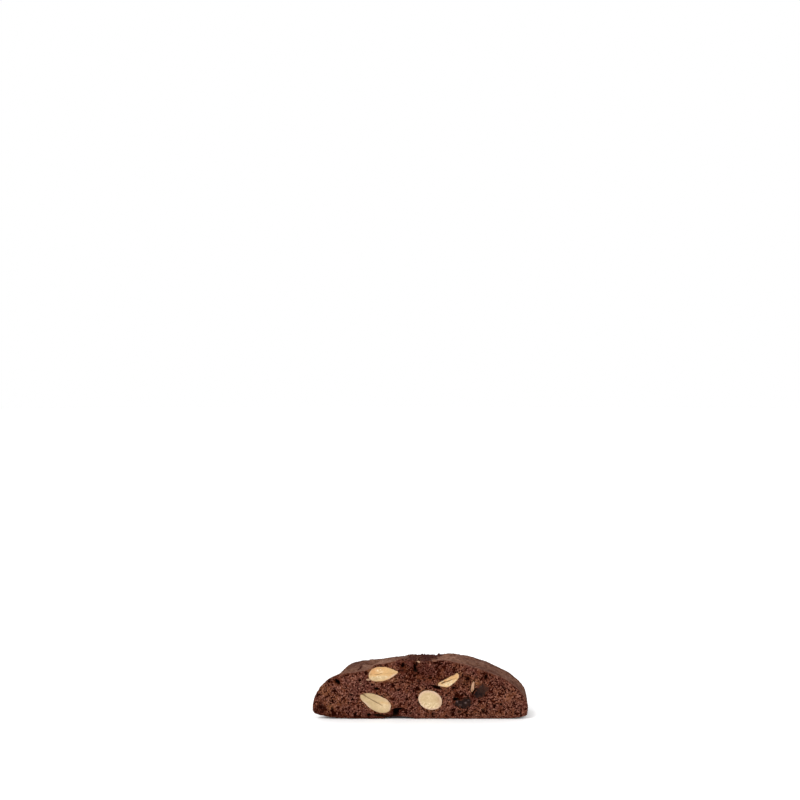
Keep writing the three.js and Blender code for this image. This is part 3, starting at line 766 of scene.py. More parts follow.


# ---------- almonds and chocolate ----------
# What marks each cut piece, in the cut face's x and z. tones says how strong each tone is all over it,
# and spots are places where one is stronger or, below 0, weaker: tone, x, z, half width, half height,
# amount. slits are lines cut into it: their points, half width, depth, and darkness, which is painted
# shade down in the slit. pulls move its outline: x, z, radius, how far along x and z. grow is how far
# its sides are moved out, where that isn't the pocket's gap with the overlap. rough is how torn its face
# is, and ragged is how uneven its outline is.
ALMONDS = {
    "almond_top_left": {
        "tones": {"toast": 0.56, "dull": 0.5},
        "spots": (
            ("toast", -16.4, 16.3, 2.0, 1.5, 0.35),
            ("toast", -14.5, 17.6, 2.6, 0.7, 0.3),
            ("toast", -16.2, 13.9, 1.8, 0.9, -0.6),
            ("toast", -13.2, 14.3, 2.0, 0.8, -0.45),
            ("toast", -9.8, 16.6, 1.8, 0.8, -0.2),
            ("dull", -10.2, 16.3, 2.2, 1.0, 0.5),
            ("dull", -16.0, 13.9, 1.6, 0.7, 0.3),
            ("flaky", -13.8, 17.2, 0.6, 0.3, 1.2),
            ("flaky", -14.2, 16.3, 0.9, 0.28, 1.2),
            ("flaky", -15.1, 16.85, 0.5, 0.28, 0.9),
            ("flaky", -13.2, 14.4, 1.8, 0.5, 0.9),
            ("flaky", -16.7, 14.3, 0.8, 0.4, 0.9),
            ("flaky", -14.9, 14.7, 0.6, 0.3, 0.7),
            ("brown", -17.3, 15.5, 0.45, 0.35, 1.1),
            ("brown", -17.4, 17.1, 0.8, 0.3, 0.9),
            ("brown", -14.8, 12.95, 1.4, 0.2, 0.8),
            ("rosy", -9.7, 15.0, 2.2, 0.8, 1.3),
            ("rosy", -17.9, 16.3, 0.5, 1.2, 0.7),
        ),
        "slits": (
            (((-16.0, 15.3), (-14.6, 15.35), (-13.2, 15.85)), 0.13, 0.1, 0.5),
            (((-12.6, 15.8), (-10.6, 15.6), (-8.6, 16.0)), 0.09, 0.06, 0.3),
        ),
        "pulls": (
            (-17.2, 13.9, 0.8, -0.3, -0.1),
            (-17.9, 16.2, 1.0, 0.15, 0.0),
            (-9.0, 17.1, 1.0, 0.0, -0.22),
            (-8.0, 16.0, 0.6, 0.05, 0.05),
        ),
        "rough": 0.18,
        "ragged": 0.2,
    },
    "almond_low_left": {
        "tones": {"dull": 0.85},
        "spots": (
            ("dull", -17.0, 8.3, 2.4, 0.8, 0.5),
            ("dull", -20.2, 7.8, 1.0, 0.8, 0.4),
            ("dull", -12.8, 4.6, 2.6, 1.7, -0.7),
            ("dull", -17.7, 6.6, 1.8, 0.5, -0.35),
            ("toast", -13.2, 5.6, 1.6, 0.8, 0.3),
            ("toast", -11.2, 5.4, 0.8, 1.2, 0.25),
            ("flaky", -12.6, 4.4, 1.8, 1.0, 0.35),
            ("rosy", -18.6, 5.2, 2.6, 1.4, 1.1),
            ("rosy", -14.0, 8.2, 1.2, 0.8, 0.7),
            ("rosy", -11.6, 6.2, 1.4, 1.4, 0.5),
            ("rosy", -10.6, 3.8, 0.8, 1.0, 0.9),
            ("brown", -19.9, 8.55, 0.9, 0.22, 1.0),
            ("brown", -17.0, 9.0, 2.4, 0.2, 0.7),
            ("brown", -11.0, 5.9, 0.25, 0.9, 0.7),
        ),
        "slits": (
            (((-20.3, 8.7), (-19.6, 8.3), (-18.7, 7.65)), 0.19, 0.3, 0.85),
            (((-19.4, 8.1), (-17.3, 6.8), (-15.8, 5.95), (-13.2, 4.55)), 0.14, 0.25, 0.65),
        ),
        "pulls": ((-19.0, 5.4, 1.4, 0.16, 0.2), (-13.8, 8.4, 1.6, -0.08, -0.2)),
        "rough": 0.07,
        "ragged": 0.14,
    },
    "almond_split": {
        "tones": {"toast": 0.56},
        "spots": (
            ("toast", 11.8, 14.7, 1.9, 0.8, 0.2),
            ("toast", 12.9, 16.0, 0.7, 0.8, 0.45),
            ("toast", 9.0, 13.9, 1.4, 0.5, 0.4),
            ("toast", 7.9, 12.9, 0.9, 0.5, 0.6),
            ("toast", 9.6, 12.1, 1.8, 0.6, -0.7),
            ("flaky", 9.7, 12.1, 1.4, 0.5, 1.8),
            ("flaky", 8.2, 11.5, 0.9, 0.3, 0.9),
            ("flaky", 7.3, 12.95, 0.6, 0.22, 1.0),
            ("flaky", 11.4, 13.2, 1.2, 0.35, 1.3),
            ("flaky", 9.2, 13.8, 0.7, 0.2, 0.7),
            ("rosy", 6.4, 11.6, 0.9, 0.5, 1.2),
            ("rosy", 13.0, 14.7, 0.5, 0.8, 0.4),
            ("brown", 7.6, 12.6, 0.6, 0.3, 0.7),
            ("brown", 8.1, 13.75, 0.6, 0.25, 1.3),
            ("brown", 5.9, 12.2, 0.5, 0.35, 1.0),
            ("brown", 12.3, 16.2, 0.4, 0.35, 0.5),
            ("brown", 10.2, 14.75, 0.9, 0.15, 0.9),
        ),
        "slits": (
            (((7.0, 12.25), (7.7, 12.6), (8.5, 12.9)), 0.22, 0.2, 0.95),
            (((8.2, 12.85), (9.0, 12.95), (9.8, 13.25), (10.7, 13.55)), 0.15, 0.16, 0.85),
            (((9.6, 13.3), (10.4, 13.6), (11.4, 13.9), (12.3, 14.2)), 0.12, 0.1, 0.5),
        ),
        "rough": 0.28,
        "ragged": 0.3,
    },
    "almond_sliver": {
        "tones": {"toast": 0.1, "blush": 1.0, "rosy": 0.15, "brown": 0.42},
        "spots": (("brown", 17.6, 9.8, 0.4, 0.6, 0.6), ("brown", 18.1, 12.8, 0.3, 0.4, 0.6)),
        "rough": 0.1,
        "grow": 0.25,
    },
    "almond_round": {
        "tones": {"dull": 0.5, "rosy": 0.9, "flaky": 0.1},
        "spots": (
            ("flaky", 2.6, 4.3, 2.6, 0.9, 1.2),
            ("flaky", 0.6, 5.2, 0.9, 0.6, 0.6),
            ("flaky", 3.4, 5.4, 0.8, 0.3, 1.1),
            ("flaky", 5.0, 5.2, 0.8, 0.5, 0.7),
            ("flaky", 2.4, 7.4, 0.8, 0.5, 0.5),
            ("dull", 6.2, 6.4, 1.0, 2.2, 0.6),
            ("dull", 1.8, 5.1, 0.45, 0.3, 0.8),
            ("dull", 1.3, 4.35, 0.4, 0.2, 0.8),
            ("dull", 3.2, 4.75, 0.45, 0.2, 0.8),
            ("blush", 6.3, 6.0, 0.9, 1.6, 0.4),
            ("rosy", 5.2, 8.8, 1.6, 0.9, 0.6),
            ("rosy", 2.8, 3.6, 3.0, 0.6, 0.6),
        ),
        "grow": 0.36,
        "rough": 0.14,
        "ragged": 0.16,
    },
    "almond_back_crown": {
        "tones": {"toast": 0.25},
        "spots": (
            ("toast", 16.6, 15.8, 3.0, 1.2, 0.4),
            ("flaky", 13.4, 13.8, 2.4, 1.0, 0.8),
            ("brown", 18.9, 14.8, 0.4, 0.5, 0.8),
        ),
        "slits": ((((12.4, 14.9), (14.6, 14.1), (18.6, 13.6)), 0.08, 0.12, 0.45),),
        "rough": 0.14,
        "ragged": 0.16,
    },
    "almond_back_left": {
        "tones": {"dull": 0.8},
        "spots": (
            ("toast", -21.2, 8.0, 2.0, 1.4, 0.4),
            ("flaky", -18.6, 10.4, 1.8, 1.4, 0.5),
            ("dull", -17.4, 11.4, 1.8, 1.6, -0.5),
        ),
        "slits": ((((-23.0, 6.9), (-21.0, 8.1), (-19.2, 9.9)), 0.09, 0.2, 0.6),),
        "rough": 0.1,
    },
    "almond_back_right": {
        "tones": {"dull": 0.3},
        "spots": (
            ("flaky", 25.4, 5.8, 2.4, 1.2, 0.9),
            ("blush", 28.2, 8.4, 1.6, 1.0, 0.5),
        ),
        "rough": 0.12,
        "ragged": 0.16,
    },
    "almond_back_top": {
        "tones": {"toast": 0.5},
        "spots": (
            ("toast", -6.4, 14.8, 1.8, 1.0, 0.4),
            ("flaky", -9.6, 13.8, 1.6, 0.7, 0.8),
            ("brown", -9.0, 16.0, 1.6, 0.25, 0.9),
        ),
        "slits": ((((-11.6, 13.6), (-9.8, 14.3), (-8.2, 14.2)), 0.1, 0.3, 0.7),),
        "rough": 0.25,
        "ragged": 0.25,
    },
}
TONES = ("toast", "dull", "blush", "rosy", "flaky", "brown")
CHOCOLATE = {
    "chocolate_upper": {
        "tones": {"dull": 0.15},
        "spots": (
            ("brown", 22.7, 11.2, 1.3, 1.4, 1.2),
            # painted shade: blackened along its lower left edge, in the crevice beside the crumb
            ("dull", 18.9, 9.1, 0.8, 1.3, 0.9),
            ("dull", 20.2, 8.6, 1.4, 0.6, 0.8),
            ("flaky", 20.6, 11.2, 0.4, 0.3, 0.25),
        ),
        "rough": 0.25,
        "ragged": 0.4,
    },
    "chocolate_lower": {
        "tones": {"dull": 0.6},
        "spots": (
            ("flaky", 15.3, 5.6, 0.35, 0.28, 1.4),
            ("flaky", 13.5, 4.8, 0.45, 0.2, 1.2),
            ("flaky", 12.3, 6.0, 0.4, 0.3, 0.9),
            ("flaky", 16.3, 6.4, 0.25, 0.2, 0.8),
        ),
        "rough": 0.45,
        "ragged": 0.45,
    },
    "chocolate_back": {
        "tones": {"dull": 0.3},
        "spots": (("flaky", -5.8, 7.6, 0.5, 0.4, 0.8), ("brown", -4.2, 6.6, 1.2, 1.0, 0.6)),
        "rough": 0.3,
        "ragged": 0.35,
    },
}
CUT_REACH = 1.3  # how far under the cut face a mark goes
CUT_SKIN = 0.2  # the cut face's own points lie no deeper under it
FACE_HELD = (0.05, 0.3)  # the cut face itself isn't evened out
ON_FACE = 0.6  # a vertex is on the cut face when it is this many grid steps from it, or less
LEAST_SIDEWAYS = 0.3  # a side's vertex is moved less where its normal turns less sideways than this
SLIT_EDGE = (0.6, 2.0)  # a slit is deepest to here and ends there, in half widths
SLIT_WAVER = 0.25  # its width wavers by this share
FILLING_DRIFT = 9.1  # from one seed to the next, the patterns are shifted this far
FIBRES = (1.6, 3.0, 0.6)  # noise: scale on millimetres, detail, roughness
TORN_FACE = (0.9, 4.0, 0.62)
OUTLINE = (0.75, 3.0, 0.55)
FLAKE_SCALE = 1.3

FILLING_RELIEF = {
    "Seed": 3,
    "Rough": 0.1,
    "Outline": 0.12,  # the cut outline wavers by this
    "Fibre": 0.05,
    "Rounded rim": 0.1,
}


def filling_tree():
    """Wavering outline, torn face and fine fibres along the piece's length."""
    graph, given = new_relief_tree("filling_relief", FILLING_RELIEF)
    drift = graph.node("ShaderNodeCombineXYZ", {}, {"X": given.out("Seed") * FILLING_DRIFT})
    spot = graph.vector("ADD", graph.node("GeometryNodeInputPosition"), drift)
    along, across, rim, flaky = (attribute(graph, name) for name in ("along", "across", "rim", "flaky"))
    lengthwise = {"X": along * 0.35, "Y": across * 2.4, "Z": given.out("Seed")}
    fibre = graph.noise(graph.node("ShaderNodeCombineXYZ", {}, lengthwise), *FIBRES) - 0.5
    torn = graph.noise(spot, *TORN_FACE) - 0.52
    flake = graph.cells(spot, FLAKE_SCALE, "SMOOTH_F1") - 0.4
    face = rim.ease(0.0, 0.5)
    rough = given.out("Rough") + flaky * 0.1
    rise = face * (rough * (torn * 2 + flake * 0.7) + fibre * given.out("Fibre") * 2)
    rise = rise - attribute(graph, "slit") - given.out("Rough") * 0.12
    rise = rise - rim.ease(0.0, 0.35, given.out("Rounded rim"), 0.0)
    waver = graph.vector("MULTIPLY", graph.shove(spot, *OUTLINE), (1.0, 0.0, 1.0))
    outwards = graph.scaled(graph.node("GeometryNodeInputNormal"), rise)
    moved = graph.vector("ADD", outwards, graph.scaled(waver, (1 - face) * given.out("Outline") * 3))
    geometry = {"Geometry": given.out("Geometry"), "Offset": moved}
    end_tree(graph, graph.node("GeometryNodeSetPosition", {}, geometry), given)
    return graph


def length_axis(points):
    """The middle of a cut face and the direction of its length, towards the pointed end."""
    flat = points[:, (0, 2)]
    middle = flat.mean(0)
    spread = np.cov((flat - middle).T)
    way = np.linalg.eigh(spread)[1][:, 1]
    reach = (flat - middle) @ way
    return middle, way if reach.max() > -reach.min() else -way


def widen(mesh, by):
    """Moves a cut piece's sides outwards, along its cut face."""
    sideways = normals_of(mesh) * (1, 0, 1)
    length = np.linalg.norm(sideways, axis=1)[:, None]
    set_points(mesh, points_of(mesh) + sideways / np.maximum(length, LEAST_SIDEWAYS) * by)


def pull_outline(points, pulls):
    """Moves the points near each pull, those at its middle the furthest."""
    for x, z, radius, along_x, along_z in pulls:
        near = np.exp(-((points[:, 0] - x) ** 2 + (points[:, 2] - z) ** 2) / radius**2)
        points[:, 0] += near * along_x
        points[:, 2] += near * along_z


def make_filling(name, material, grid, marks):
    """A CAD piece grown into its pocket, with its relief and its marks stored for its material."""
    piece = link(name + "_cut", cad_copy(name))
    widen(piece.data, marks.get("grow", POCKET_GAP + OVERLAP))
    remesh(piece, grid)
    mesh = piece.data
    points = points_of(mesh)
    faces = [y for y in (FRONT_Y, BACK_Y) if np.abs(points[:, 1] - y).min() < grid]
    under_face = np.min([np.abs(points[:, 1] - y) for y in faces], axis=0)
    relax(mesh, CUT_PIECE_ROUNDS, 1 - ease(under_face, *FACE_HELD))
    points = points_of(mesh)
    pull_outline(points, marks.get("pulls", ()))
    set_points(mesh, points)
    store(mesh, "rim", rim_distance(points, faces, grid))
    store_lengthwise(mesh, points, under_face)
    shown = 1 - ease(under_face, 0.5 * CUT_REACH, CUT_REACH)
    store_tones(mesh, points, shown, marks)
    store_slits(mesh, points, shown, marks.get("slits", ()))
    seed = FILLING_RELIEF["Seed"] + len(name)
    numbers = dict(FILLING_RELIEF, Seed=seed, Rough=marks["rough"])
    numbers["Outline"] = marks.get("ragged", FILLING_RELIEF["Outline"])
    apply_tree(piece, filling_tree(), material, numbers)
    finish_piece(piece, material, name)


def store_lengthwise(mesh, points, under_face):
    """How far each vertex lies along the cut face's length and across it."""
    middle, way = length_axis(points[under_face < CUT_SKIN])
    out = points[:, (0, 2)] - middle
    store(mesh, "along", out @ way)
    store(mesh, "across", out @ np.array((-way[1], way[0])))


def store_tones(mesh, points, shown, marks):
    """How strong each tone is at each vertex."""
    tones = {tone: np.full(len(points), float(marks["tones"].get(tone, 0))) for tone in TONES}
    for tone, *spot in marks["spots"]:
        tones[tone] += soft_spots(points[:, 0], points[:, 2], [spot]) * shown
    for tone, values in tones.items():
        store(mesh, tone, values)


def store_slits(mesh, points, shown, slits):
    """How deep the slits go at each vertex, and how dark the painted shade down in them is."""
    x, z = points[:, 0], points[:, 2]
    slit, dark = np.zeros(len(points)), np.zeros(len(points))
    for line, half_width, depth, darkness in slits:
        away, share = off_line(x, z, line)
        width = half_width * tapered(share) * (1 + SLIT_WAVER * np.sin(5 * x) * np.sin(7 * z))
        inside = (1 - ease(away, SLIT_EDGE[0] * width, SLIT_EDGE[1] * width)) * shown
        slit = np.maximum(slit, inside * depth)
        dark = np.maximum(dark, inside * darkness)
    store(mesh, "slit", slit)
    store(mesh, "dark", dark)


def rim_distance(points, faces, grid):
    """How far each vertex of a cut face is from the face's edge, in millimetres."""
    on_face = np.zeros(len(points), bool)
    for y in faces:
        on_face |= np.abs(points[:, 1] - y) < grid * ON_FACE
    side = np.flatnonzero(~on_face)
    tree = KDTree(len(side))
    for i in side:
        tree.insert(points[i], int(i))
    tree.balance()
    rim = np.zeros(len(points))
    for i in np.flatnonzero(on_face):
        rim[i] = tree.find(points[i])[2]
    return rim


# ---------- materials ----------
MIX_SHARE, MIX_FIRST, MIX_SECOND = 0, 6, 7  # a Mix node's sockets for colours
MIX_COLOUR = 2


def new_material(name):
    material = bpy.data.materials.new(name)
    material.use_nodes = True
    material.node_tree.nodes.clear()
    graph = Graph(material.node_tree)
    return material, graph


def principled(graph, values):
    shader = graph.node("ShaderNodeBsdfPrincipled", {}, values)
    graph.node("ShaderNodeOutputMaterial", {}, {"Surface": shader})
    return shader


def blend(graph, share, first, second):
    """The first colour where the share is 0 or less, the second where it is 1 or more."""
    settings = {"data_type": "RGBA", "clamp_factor": True}
    values = {MIX_SHARE: share, MIX_FIRST: first, MIX_SECOND: second}
    return graph.node("ShaderNodeMix", settings, values, MIX_COLOUR)


def read(graph, name):
    return graph.node("ShaderNodeAttribute", {"attribute_name": name}, {}, "Fac")


def in_mm(graph):
    place = graph.node("ShaderNodeTexCoord", {}, {}, "Object")
    return graph.scaled(place, 1 / MM)


CRUMB_DARK = (0.029, 0.0032, 0.0006, 1)
CRUMB_BLACK = (0.0045, 0.0022, 0.0012, 1)
CRUMB_MID = (0.094, 0.023, 0.0095, 1)
CRUMB_LIGHT = (0.34, 0.15, 0.105, 1)
CRUMB_WARM = (0.16, 0.058, 0.019, 1)
CRUMB_COOL = (0.074, 0.0195, 0.0135, 1)
CRUST_BROWN = (0.082, 0.031, 0.018, 1)
CRUST_MILKY = (0.225, 0.11, 0.069, 1)
CRUST_DUST_AND_HIGHLIGHT = (0.34, 0.205, 0.15, 1)
CRUST_DEEP = (0.045, 0.013, 0.007, 1)
CRUST_ROSY = (0.24, 0.118, 0.085, 1)
CRUST_CINNAMON = (0.26, 0.105, 0.055, 1)
TORN_DARK = (0.036, 0.0095, 0.0075, 1)
CHIP_CREAM = (0.4, 0.245, 0.155, 1)
DARKER_LEFT = (-13, -24)  # along the length, the crust is darker from here to there
# painted shadow: the crust is darker from here to there at its right end
PAINTED_SHADOW_RIGHT = (5, 24)
LIGHTER_FRONT_EDGE = (0.5, 1.7)  # its front edge is lighter and rosier to here, behind the front face
DARKER_BACK = (2.0, 0.3)  # and it is darker from here to there, before the back face

# Noise that mottles the dough: scale on millimetres, detail, roughness.
SPECK = (2.2, 3.0, 0.65)
FINE = (6.0, 3.0, 0.6)
CRUMB_BROAD = (0.3, 2.0, 0.5)
CRUST_GRAIN = (0.9, 5.0, 0.68)
CRUST_BROAD = (0.12, 2.0, 0.5)


def crumb_colour(graph, place, speck, fine):
    """Cut crumb: brown with pale grains, painted highlights round its holes and on its granules, painted
    shade in its holes and hollows, warmer beside the almonds.
    """
    cavity, granule, depth = (read(graph, name) for name in ("cavity", "granule", "depth"))
    shade, warmth = read(graph, "shade"), read(graph, "warmth")
    broad = graph.noise(place, *CRUMB_BROAD)
    crumb = blend(graph, broad.ease(0.38, 0.62), CRUMB_COOL, CRUMB_MID)
    crumb = blend(graph, broad.ease(0.55, 0.75) * 0.3 + warmth, crumb, CRUMB_WARM)
    hole_rim_highlight = cavity.ease(0.02, 0.14) * cavity.ease(0.2, 0.45, 1.0, 0.0)  # painted highlight: it is pale round its holes
    # pale grains of crumb, with painted highlight on the raised granules and round the holes
    light = (speck * 0.75 + fine * 0.5 + granule * 0.16 + hole_rim_highlight * 0.08 - shade * 0.12).ease(0.66, 0.86)
    crumb = blend(graph, light, crumb, CRUMB_LIGHT)
    crumb = blend(graph, depth.ease(0.2, 0.9, 0.4, 0.0), crumb, CRUST_DEEP)
    # painted shade: darker in the holes, at the dark spots and down the hollows behind the cut face, with
    # dark specks of crumb among it; less of it where the crumb is warm
    dark = cavity.ease(0.06, 0.5) + (speck * 0.65 + fine * 0.35).ease(0.47, 0.37) * 0.75
    sunk = read(graph, "sunk") * (speck * 0.5 + fine * 0.5).ease(0.42, 0.56, 0.9, 0.45)
    dark = dark + shade.most(0.0) * 0.55 + sunk
    crumb = blend(graph, dark * warmth.ease(0.45, 0.9, 1.0, 0.6), crumb, CRUMB_DARK)
    # painted shade: black at the darkest spots, down the deep hollows
    return blend(graph, (shade + (speck - 0.5) * 1.2).ease(0.55, 1.0, 0.0, 0.95), crumb, CRUMB_BLACK)


def crust_colour(graph, place, speck, fine, crumb):
    """Baked skin: dust and painted highlight on ridges, painted shade in hollows, darker to its ends, dark
    crumb where torn.
    """
    cavity, depth, torn, under = (read(graph, name) for name in ("cavity", "depth", "torn", "under"))
    fold, ridge, patch = (read(graph, name) for name in ("fold", "ridge", "patch"))
    length = graph.node("ShaderNodeSeparateXYZ", {}, {"Vector": place}, "X")
    across = length.out("Y")
    grain = graph.noise(place, *CRUST_GRAIN)
    broad = graph.noise(place, *CRUST_BROAD)
    skin = blend(graph, (grain * 0.65 + broad * 0.35).ease(0.4, 0.6), CRUST_BROWN, CRUST_MILKY)
    # dust, with painted highlight on the ridges of the crust's relief
    dust_and_ridge_highlight = (grain * 0.3 + fine * 0.3 + speck * 0.2 + ridge * 0.2).ease(0.5, 0.64)
    skin = blend(graph, dust_and_ridge_highlight * 0.6, skin, CRUST_DUST_AND_HIGHLIGHT)
    skin = blend(graph, (fine * 0.45 + speck * 0.55).ease(0.47, 0.3) * 0.8, skin, CRUST_DEEP)
    edge = (FRONT_Y + LIGHTER_FRONT_EDGE[0], FRONT_Y + LIGHTER_FRONT_EDGE[1])
    skin = blend(graph, (across + (grain - 0.5) * 3).ease(*edge, 0.5, 0.0), skin, CRUST_ROSY)
    # darker towards both ends and the back; towards the right end this is painted shadow
    ends = length.ease(*DARKER_LEFT) * 0.25 + length.ease(*PAINTED_SHADOW_RIGHT) * 0.36
    ends = ends + across.ease(BACK_Y - DARKER_BACK[0], BACK_Y - DARKER_BACK[1]) * 0.35
    # painted shade in the low parts of the crust's relief, with the darker ends
    skin = blend(graph, (ridge.ease(0.42, 0.15) * 0.25 + ends).least(0.8), skin, CRUST_DEEP)
    skin = blend(graph, depth.ease(0.12, 0.4) * 0.55, skin, CRUST_CINNAMON)
    patch = patch + (grain - 0.5) * abs(patch) * 2
    skin = blend(graph, (-patch).least(0.8) * (grain + fine).ease(0.85, 1.1), skin, CRUST_DUST_AND_HIGHLIGHT)
    skin = blend(graph, torn * 0.95, skin, blend(graph, 0.6, crumb, TORN_DARK))
    skin = blend(graph, patch.least(0.85), skin, TORN_DARK)
    # darker underside, and painted shade down the crust's cracks and pits
    skin = blend(graph, under * 0.7 + cavity * 0.6 * (1 - torn), skin, CRUST_DEEP)
    # painted shade down the crease
    return blend(graph, fold.ease(0.1, 0.7), skin, CRUMB_DARK)


def dough_material():
    """Crumb on the cut faces and skin on the crust, with chips of almond."""
    material, graph = new_material("baked_chocolate_dough")
    place = in_mm(graph)
    speck = graph.noise(place, *SPECK)
    fine = graph.noise(place, *FINE)
    crumb = crumb_colour(graph, place, speck, fine)
    skin = crust_colour(graph, place, speck, fine, crumb)
    crust = (read(graph, "crust") + (speck - 0.5) * 0.5).ease(0.3, 0.62)
    colour = blend(graph, read(graph, "chip"), blend(graph, crust, crumb, skin), CHIP_CREAM)
    bump = graph.bump(fine * 0.5 + speck * 0.5, 0.5, 0.12)
    dull = 0.95 - crust * 0.2
    principled(graph, {"Base Color": colour, "Roughness": dull, "Specular IOR Level": 0.03, "Normal": bump})
    return material


ALMOND_CREAM = (0.62, 0.445, 0.25, 1)
ALMOND_BEIGE = (0.425, 0.298, 0.145, 1)
ALMOND_GOLD = (0.59, 0.342, 0.134, 1)
ALMOND_ORANGE = (0.53, 0.245, 0.08, 1)
ALMOND_PALE = (0.75, 0.585, 0.365, 1)
ALMOND_BLUSH = (0.46, 0.255, 0.16, 1)
ALMOND_ROSE = (0.57, 0.38, 0.26, 1)
ALMOND_SKIN = (0.2, 0.085, 0.026, 1)
SLIT_BROWN = (0.13, 0.062, 0.013, 1)

# Noise that mottles the almonds, in the dough's terms.
ALMOND_LINES = (1.5, 3.0, 0.6)
ALMOND_CLOUD = (0.8, 4.0, 0.65)
ALMOND_MOTTLE = (1.7, 3.0, 0.6)
ALMOND_FINE = (3.5, 4.0, 0.6)


def almond_material():
    """Cut almond flesh: cream to toasted gold, with flakes, lengthwise lines, a browned rim and painted
    shade down its slits.
    """
    material, graph = new_material("cut_almond")
    place = in_mm(graph)
    toast, dull, blush, rosy, flaky, brown = (read(graph, tone) for tone in TONES)
    rim, along, across, dark = (read(graph, name) for name in ("rim", "along", "across", "dark"))
    lengthwise = graph.node("ShaderNodeCombineXYZ", {}, {"X": along * 0.3, "Y": across * 3.0})
    lines = graph.noise(lengthwise, *ALMOND_LINES)
    cloud = graph.noise(place, *ALMOND_CLOUD)
    mottle = graph.noise(place, *ALMOND_MOTTLE)
    fine = graph.noise(place, *ALMOND_FINE)
    flesh = blend(graph, dull + (cloud - 0.5) * 0.9, ALMOND_CREAM, ALMOND_BEIGE)
    browned = toast + (cloud - 0.5) * 0.5 + (lines - 0.5) * 0.3
    flesh = blend(graph, browned.ease(0.05, 0.6), flesh, ALMOND_GOLD)
    flesh = blend(graph, browned.ease(0.6, 1.15), flesh, ALMOND_ORANGE)
    pink = blush + rim.ease(0.0, 0.5, 0.55, 0.0) + (cloud - 0.5) * 0.2
    flesh = blend(graph, pink, flesh, ALMOND_BLUSH)
    grain = lines * 0.3 + mottle * 0.4 + fine * 0.3
    flesh = blend(graph, grain.ease(0.49, 0.36) * 0.6, flesh, ALMOND_BEIGE)
    flesh = blend(graph, (rosy * rim.ease(0.1, 1.2, 1.0, 0.0)).least(0.9), flesh, ALMOND_ROSE)
    flake = (mottle * 0.65 + fine * 0.35).ease(0.42, 0.6)
    flesh = blend(graph, flake * (flaky + 0.12), flesh, ALMOND_PALE)
    bitten = rim + (fine - 0.5) * 0.4 + (cloud - 0.5) * 0.7  # crumbs cling to parts of the rim
    browning = (brown * (mottle + fine).ease(0.8, 1.1)).most(bitten.ease(0.0, 0.16, 0.55, 0.0))
    # painted shade down the slits
    colour = blend(graph, dark, blend(graph, browning, flesh, ALMOND_SKIN), SLIT_BROWN)
    bump = graph.bump(fine * 0.5 + lines * 0.5, 0.4, 0.12)
    principled(graph, {"Base Color": colour, "Roughness": 0.52, "Specular IOR Level": 0.3, "Normal": bump})
    return material


CHOCOLATE_BROWN = (0.031, 0.0135, 0.0092, 1)
CHOCOLATE_BLACK = (0.008, 0.0035, 0.0035, 1)
CHOCOLATE_GREY_FLECK = (0.17, 0.11, 0.1, 1)
CHOCOLATE_EARTH = (0.062, 0.021, 0.0125, 1)
CHOCOLATE_CLOUD = (1.1, 4.0, 0.62)
CHOCOLATE_FINE = (3.5, 3.0, 0.6)


def chocolate_material():
    """Dark chocolate, blackened where dull is 1, painted shade along one lump's lower left edge, grey flecks
    where flaky is 1.
    """
    material, graph = new_material("dark_chocolate_lump")
    place = in_mm(graph)
    rim, dull, grey_flecks, brown = (read(graph, name) for name in ("rim", "dull", "flaky", "brown"))
    cloud = graph.noise(place, *CHOCOLATE_CLOUD)
    fine = graph.noise(place, *CHOCOLATE_FINE)
    colour = blend(graph, dull + (cloud - 0.5) * 3, CHOCOLATE_BROWN, CHOCOLATE_BLACK)
    # grey flecks where flaky is 1
    colour = blend(graph, grey_flecks * fine.ease(0.4, 0.6), colour, CHOCOLATE_GREY_FLECK)
    colour = blend(graph, brown * fine.ease(0.35, 0.6), colour, CHOCOLATE_EARTH)
    colour = blend(graph, (rim + (cloud - 0.5) * 3).ease(0.0, 0.5, 0.8, 0.0), colour, CRUMB_MID)
    bump = graph.bump(cloud * 0.6 + fine * 0.4, 0.6, 0.2)
    principled(graph, {"Base Color": colour, "Roughness": 0.6, "Specular IOR Level": 0.04, "Normal": bump})
    return material


# ---------- camera, light and floor ----------
PALE_FLOOR = (0.9, 0.9, 0.9, 1)
FLOOR_RADIUS = 3.3
FLOOR_SIDES = 128
WHITE = (1, 1, 1, 1)
SUNS = {  # where each soft light stands, its strength, and its spread in degrees
    "key": ((-0.6, -0.7, 1.0), 1.3, 20),
    "fill": ((0.9, -0.3, 0.8), 0.4, 60),
    "back": ((0.1, 0.9, 0.7), 0.5, 50),
}


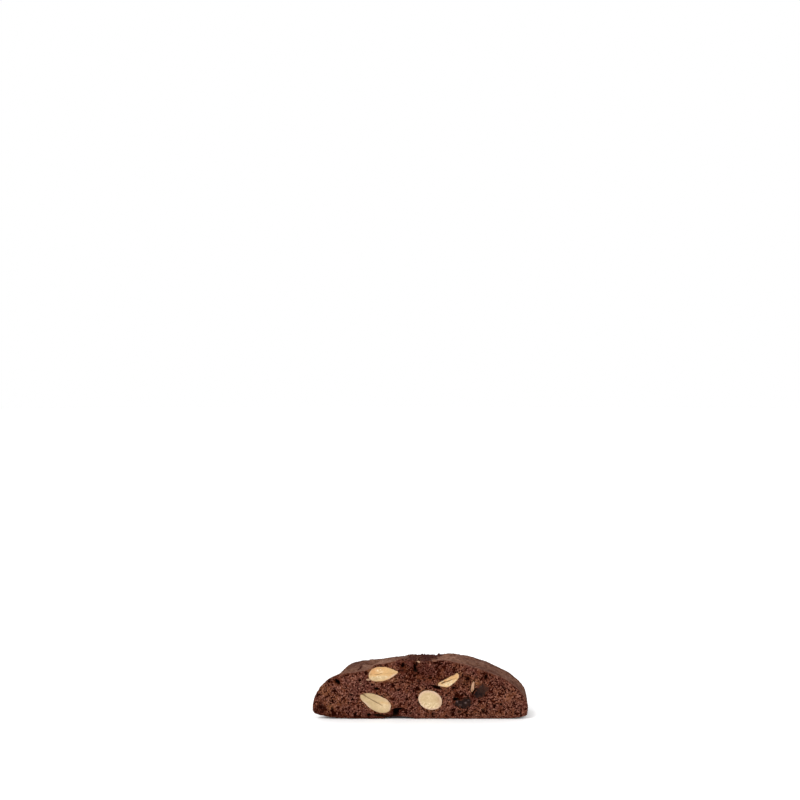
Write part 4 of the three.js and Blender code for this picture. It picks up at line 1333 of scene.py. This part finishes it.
def make_camera():
    """Looks slightly down on the front cut face, with its base edge low in the frame."""
    half_depth = -FRONT_Y * MM
    focal = (VIEW_DISTANCE - half_depth * math.cos(VIEW_ELEVATION)) / (MM_PER_PIXEL * MM)
    back = VIEW_DISTANCE * math.cos(VIEW_ELEVATION)
    up = AIM_HEIGHT + VIEW_DISTANCE * math.sin(VIEW_ELEVATION)
    below = math.atan2(up, back - half_depth)
    pitch = below - math.atan((BASE_PIXEL[1] - FRAME_PIXELS / 2) / focal)
    depth = (back - half_depth) * math.cos(pitch) + up * math.sin(pitch)
    side = -(BASE_PIXEL[0] - FRAME_PIXELS / 2) / focal * depth
    data = bpy.data.cameras.new("view")
    data.sensor_width = SENSOR
    data.lens = focal * SENSOR / FRAME_PIXELS
    data.clip_start, data.clip_end = 0.01, 20
    camera = bpy.data.objects.new("view", data)
    bpy.context.scene.collection.objects.link(camera)
    camera.location = (side, -back, up)
    camera.rotation_euler = (math.pi / 2 - pitch, 0, 0)
    bpy.context.scene.camera = camera


def make_floor():
    """A wide flat pale sheet, with its edge too far away to be seen."""
    bm = bmesh.new()
    bmesh.ops.create_circle(bm, cap_ends=True, segments=FLOOR_SIDES, radius=FLOOR_RADIUS)
    mesh = bpy.data.meshes.new("floor")
    bm.to_mesh(mesh)
    bm.free()
    material, graph = new_material("pale_floor")
    principled(graph, {"Base Color": PALE_FLOOR, "Roughness": 0.95, "Specular IOR Level": 0.1})
    mesh.materials.append(material)
    link("floor", mesh)


def make_sun(name, stand, strength, spread):
    data = bpy.data.lights.new(name, "SUN")
    data.energy, data.angle = strength, math.radians(spread)
    sun = bpy.data.objects.new(name, data)
    bpy.context.scene.collection.objects.link(sun)
    sun.rotation_euler = (-Vector(stand)).to_track_quat("-Z", "Y").to_euler()


def make_studio():
    """Even white light from all sides, and soft suns."""
    world = bpy.data.worlds.new("studio")
    bpy.context.scene.world = world
    world.use_nodes = True
    world.node_tree.nodes["Background"].inputs["Color"].default_value = WHITE
    world.node_tree.nodes["Background"].inputs["Strength"].default_value = 1.0
    for name, sun in SUNS.items():
        make_sun(name, *sun)
    bpy.context.scene.view_settings.view_transform = "Standard"


make_camera()
make_floor()
make_studio()

make_dough(dough_material())
cut_almond = almond_material()
for node, marks in ALMONDS.items():
    make_filling(node, cut_almond, ALMOND_GRID, marks)
dark_chocolate = chocolate_material()
for node, marks in CHOCOLATE.items():
    make_filling(node, dark_chocolate, LUMP_GRID, marks)
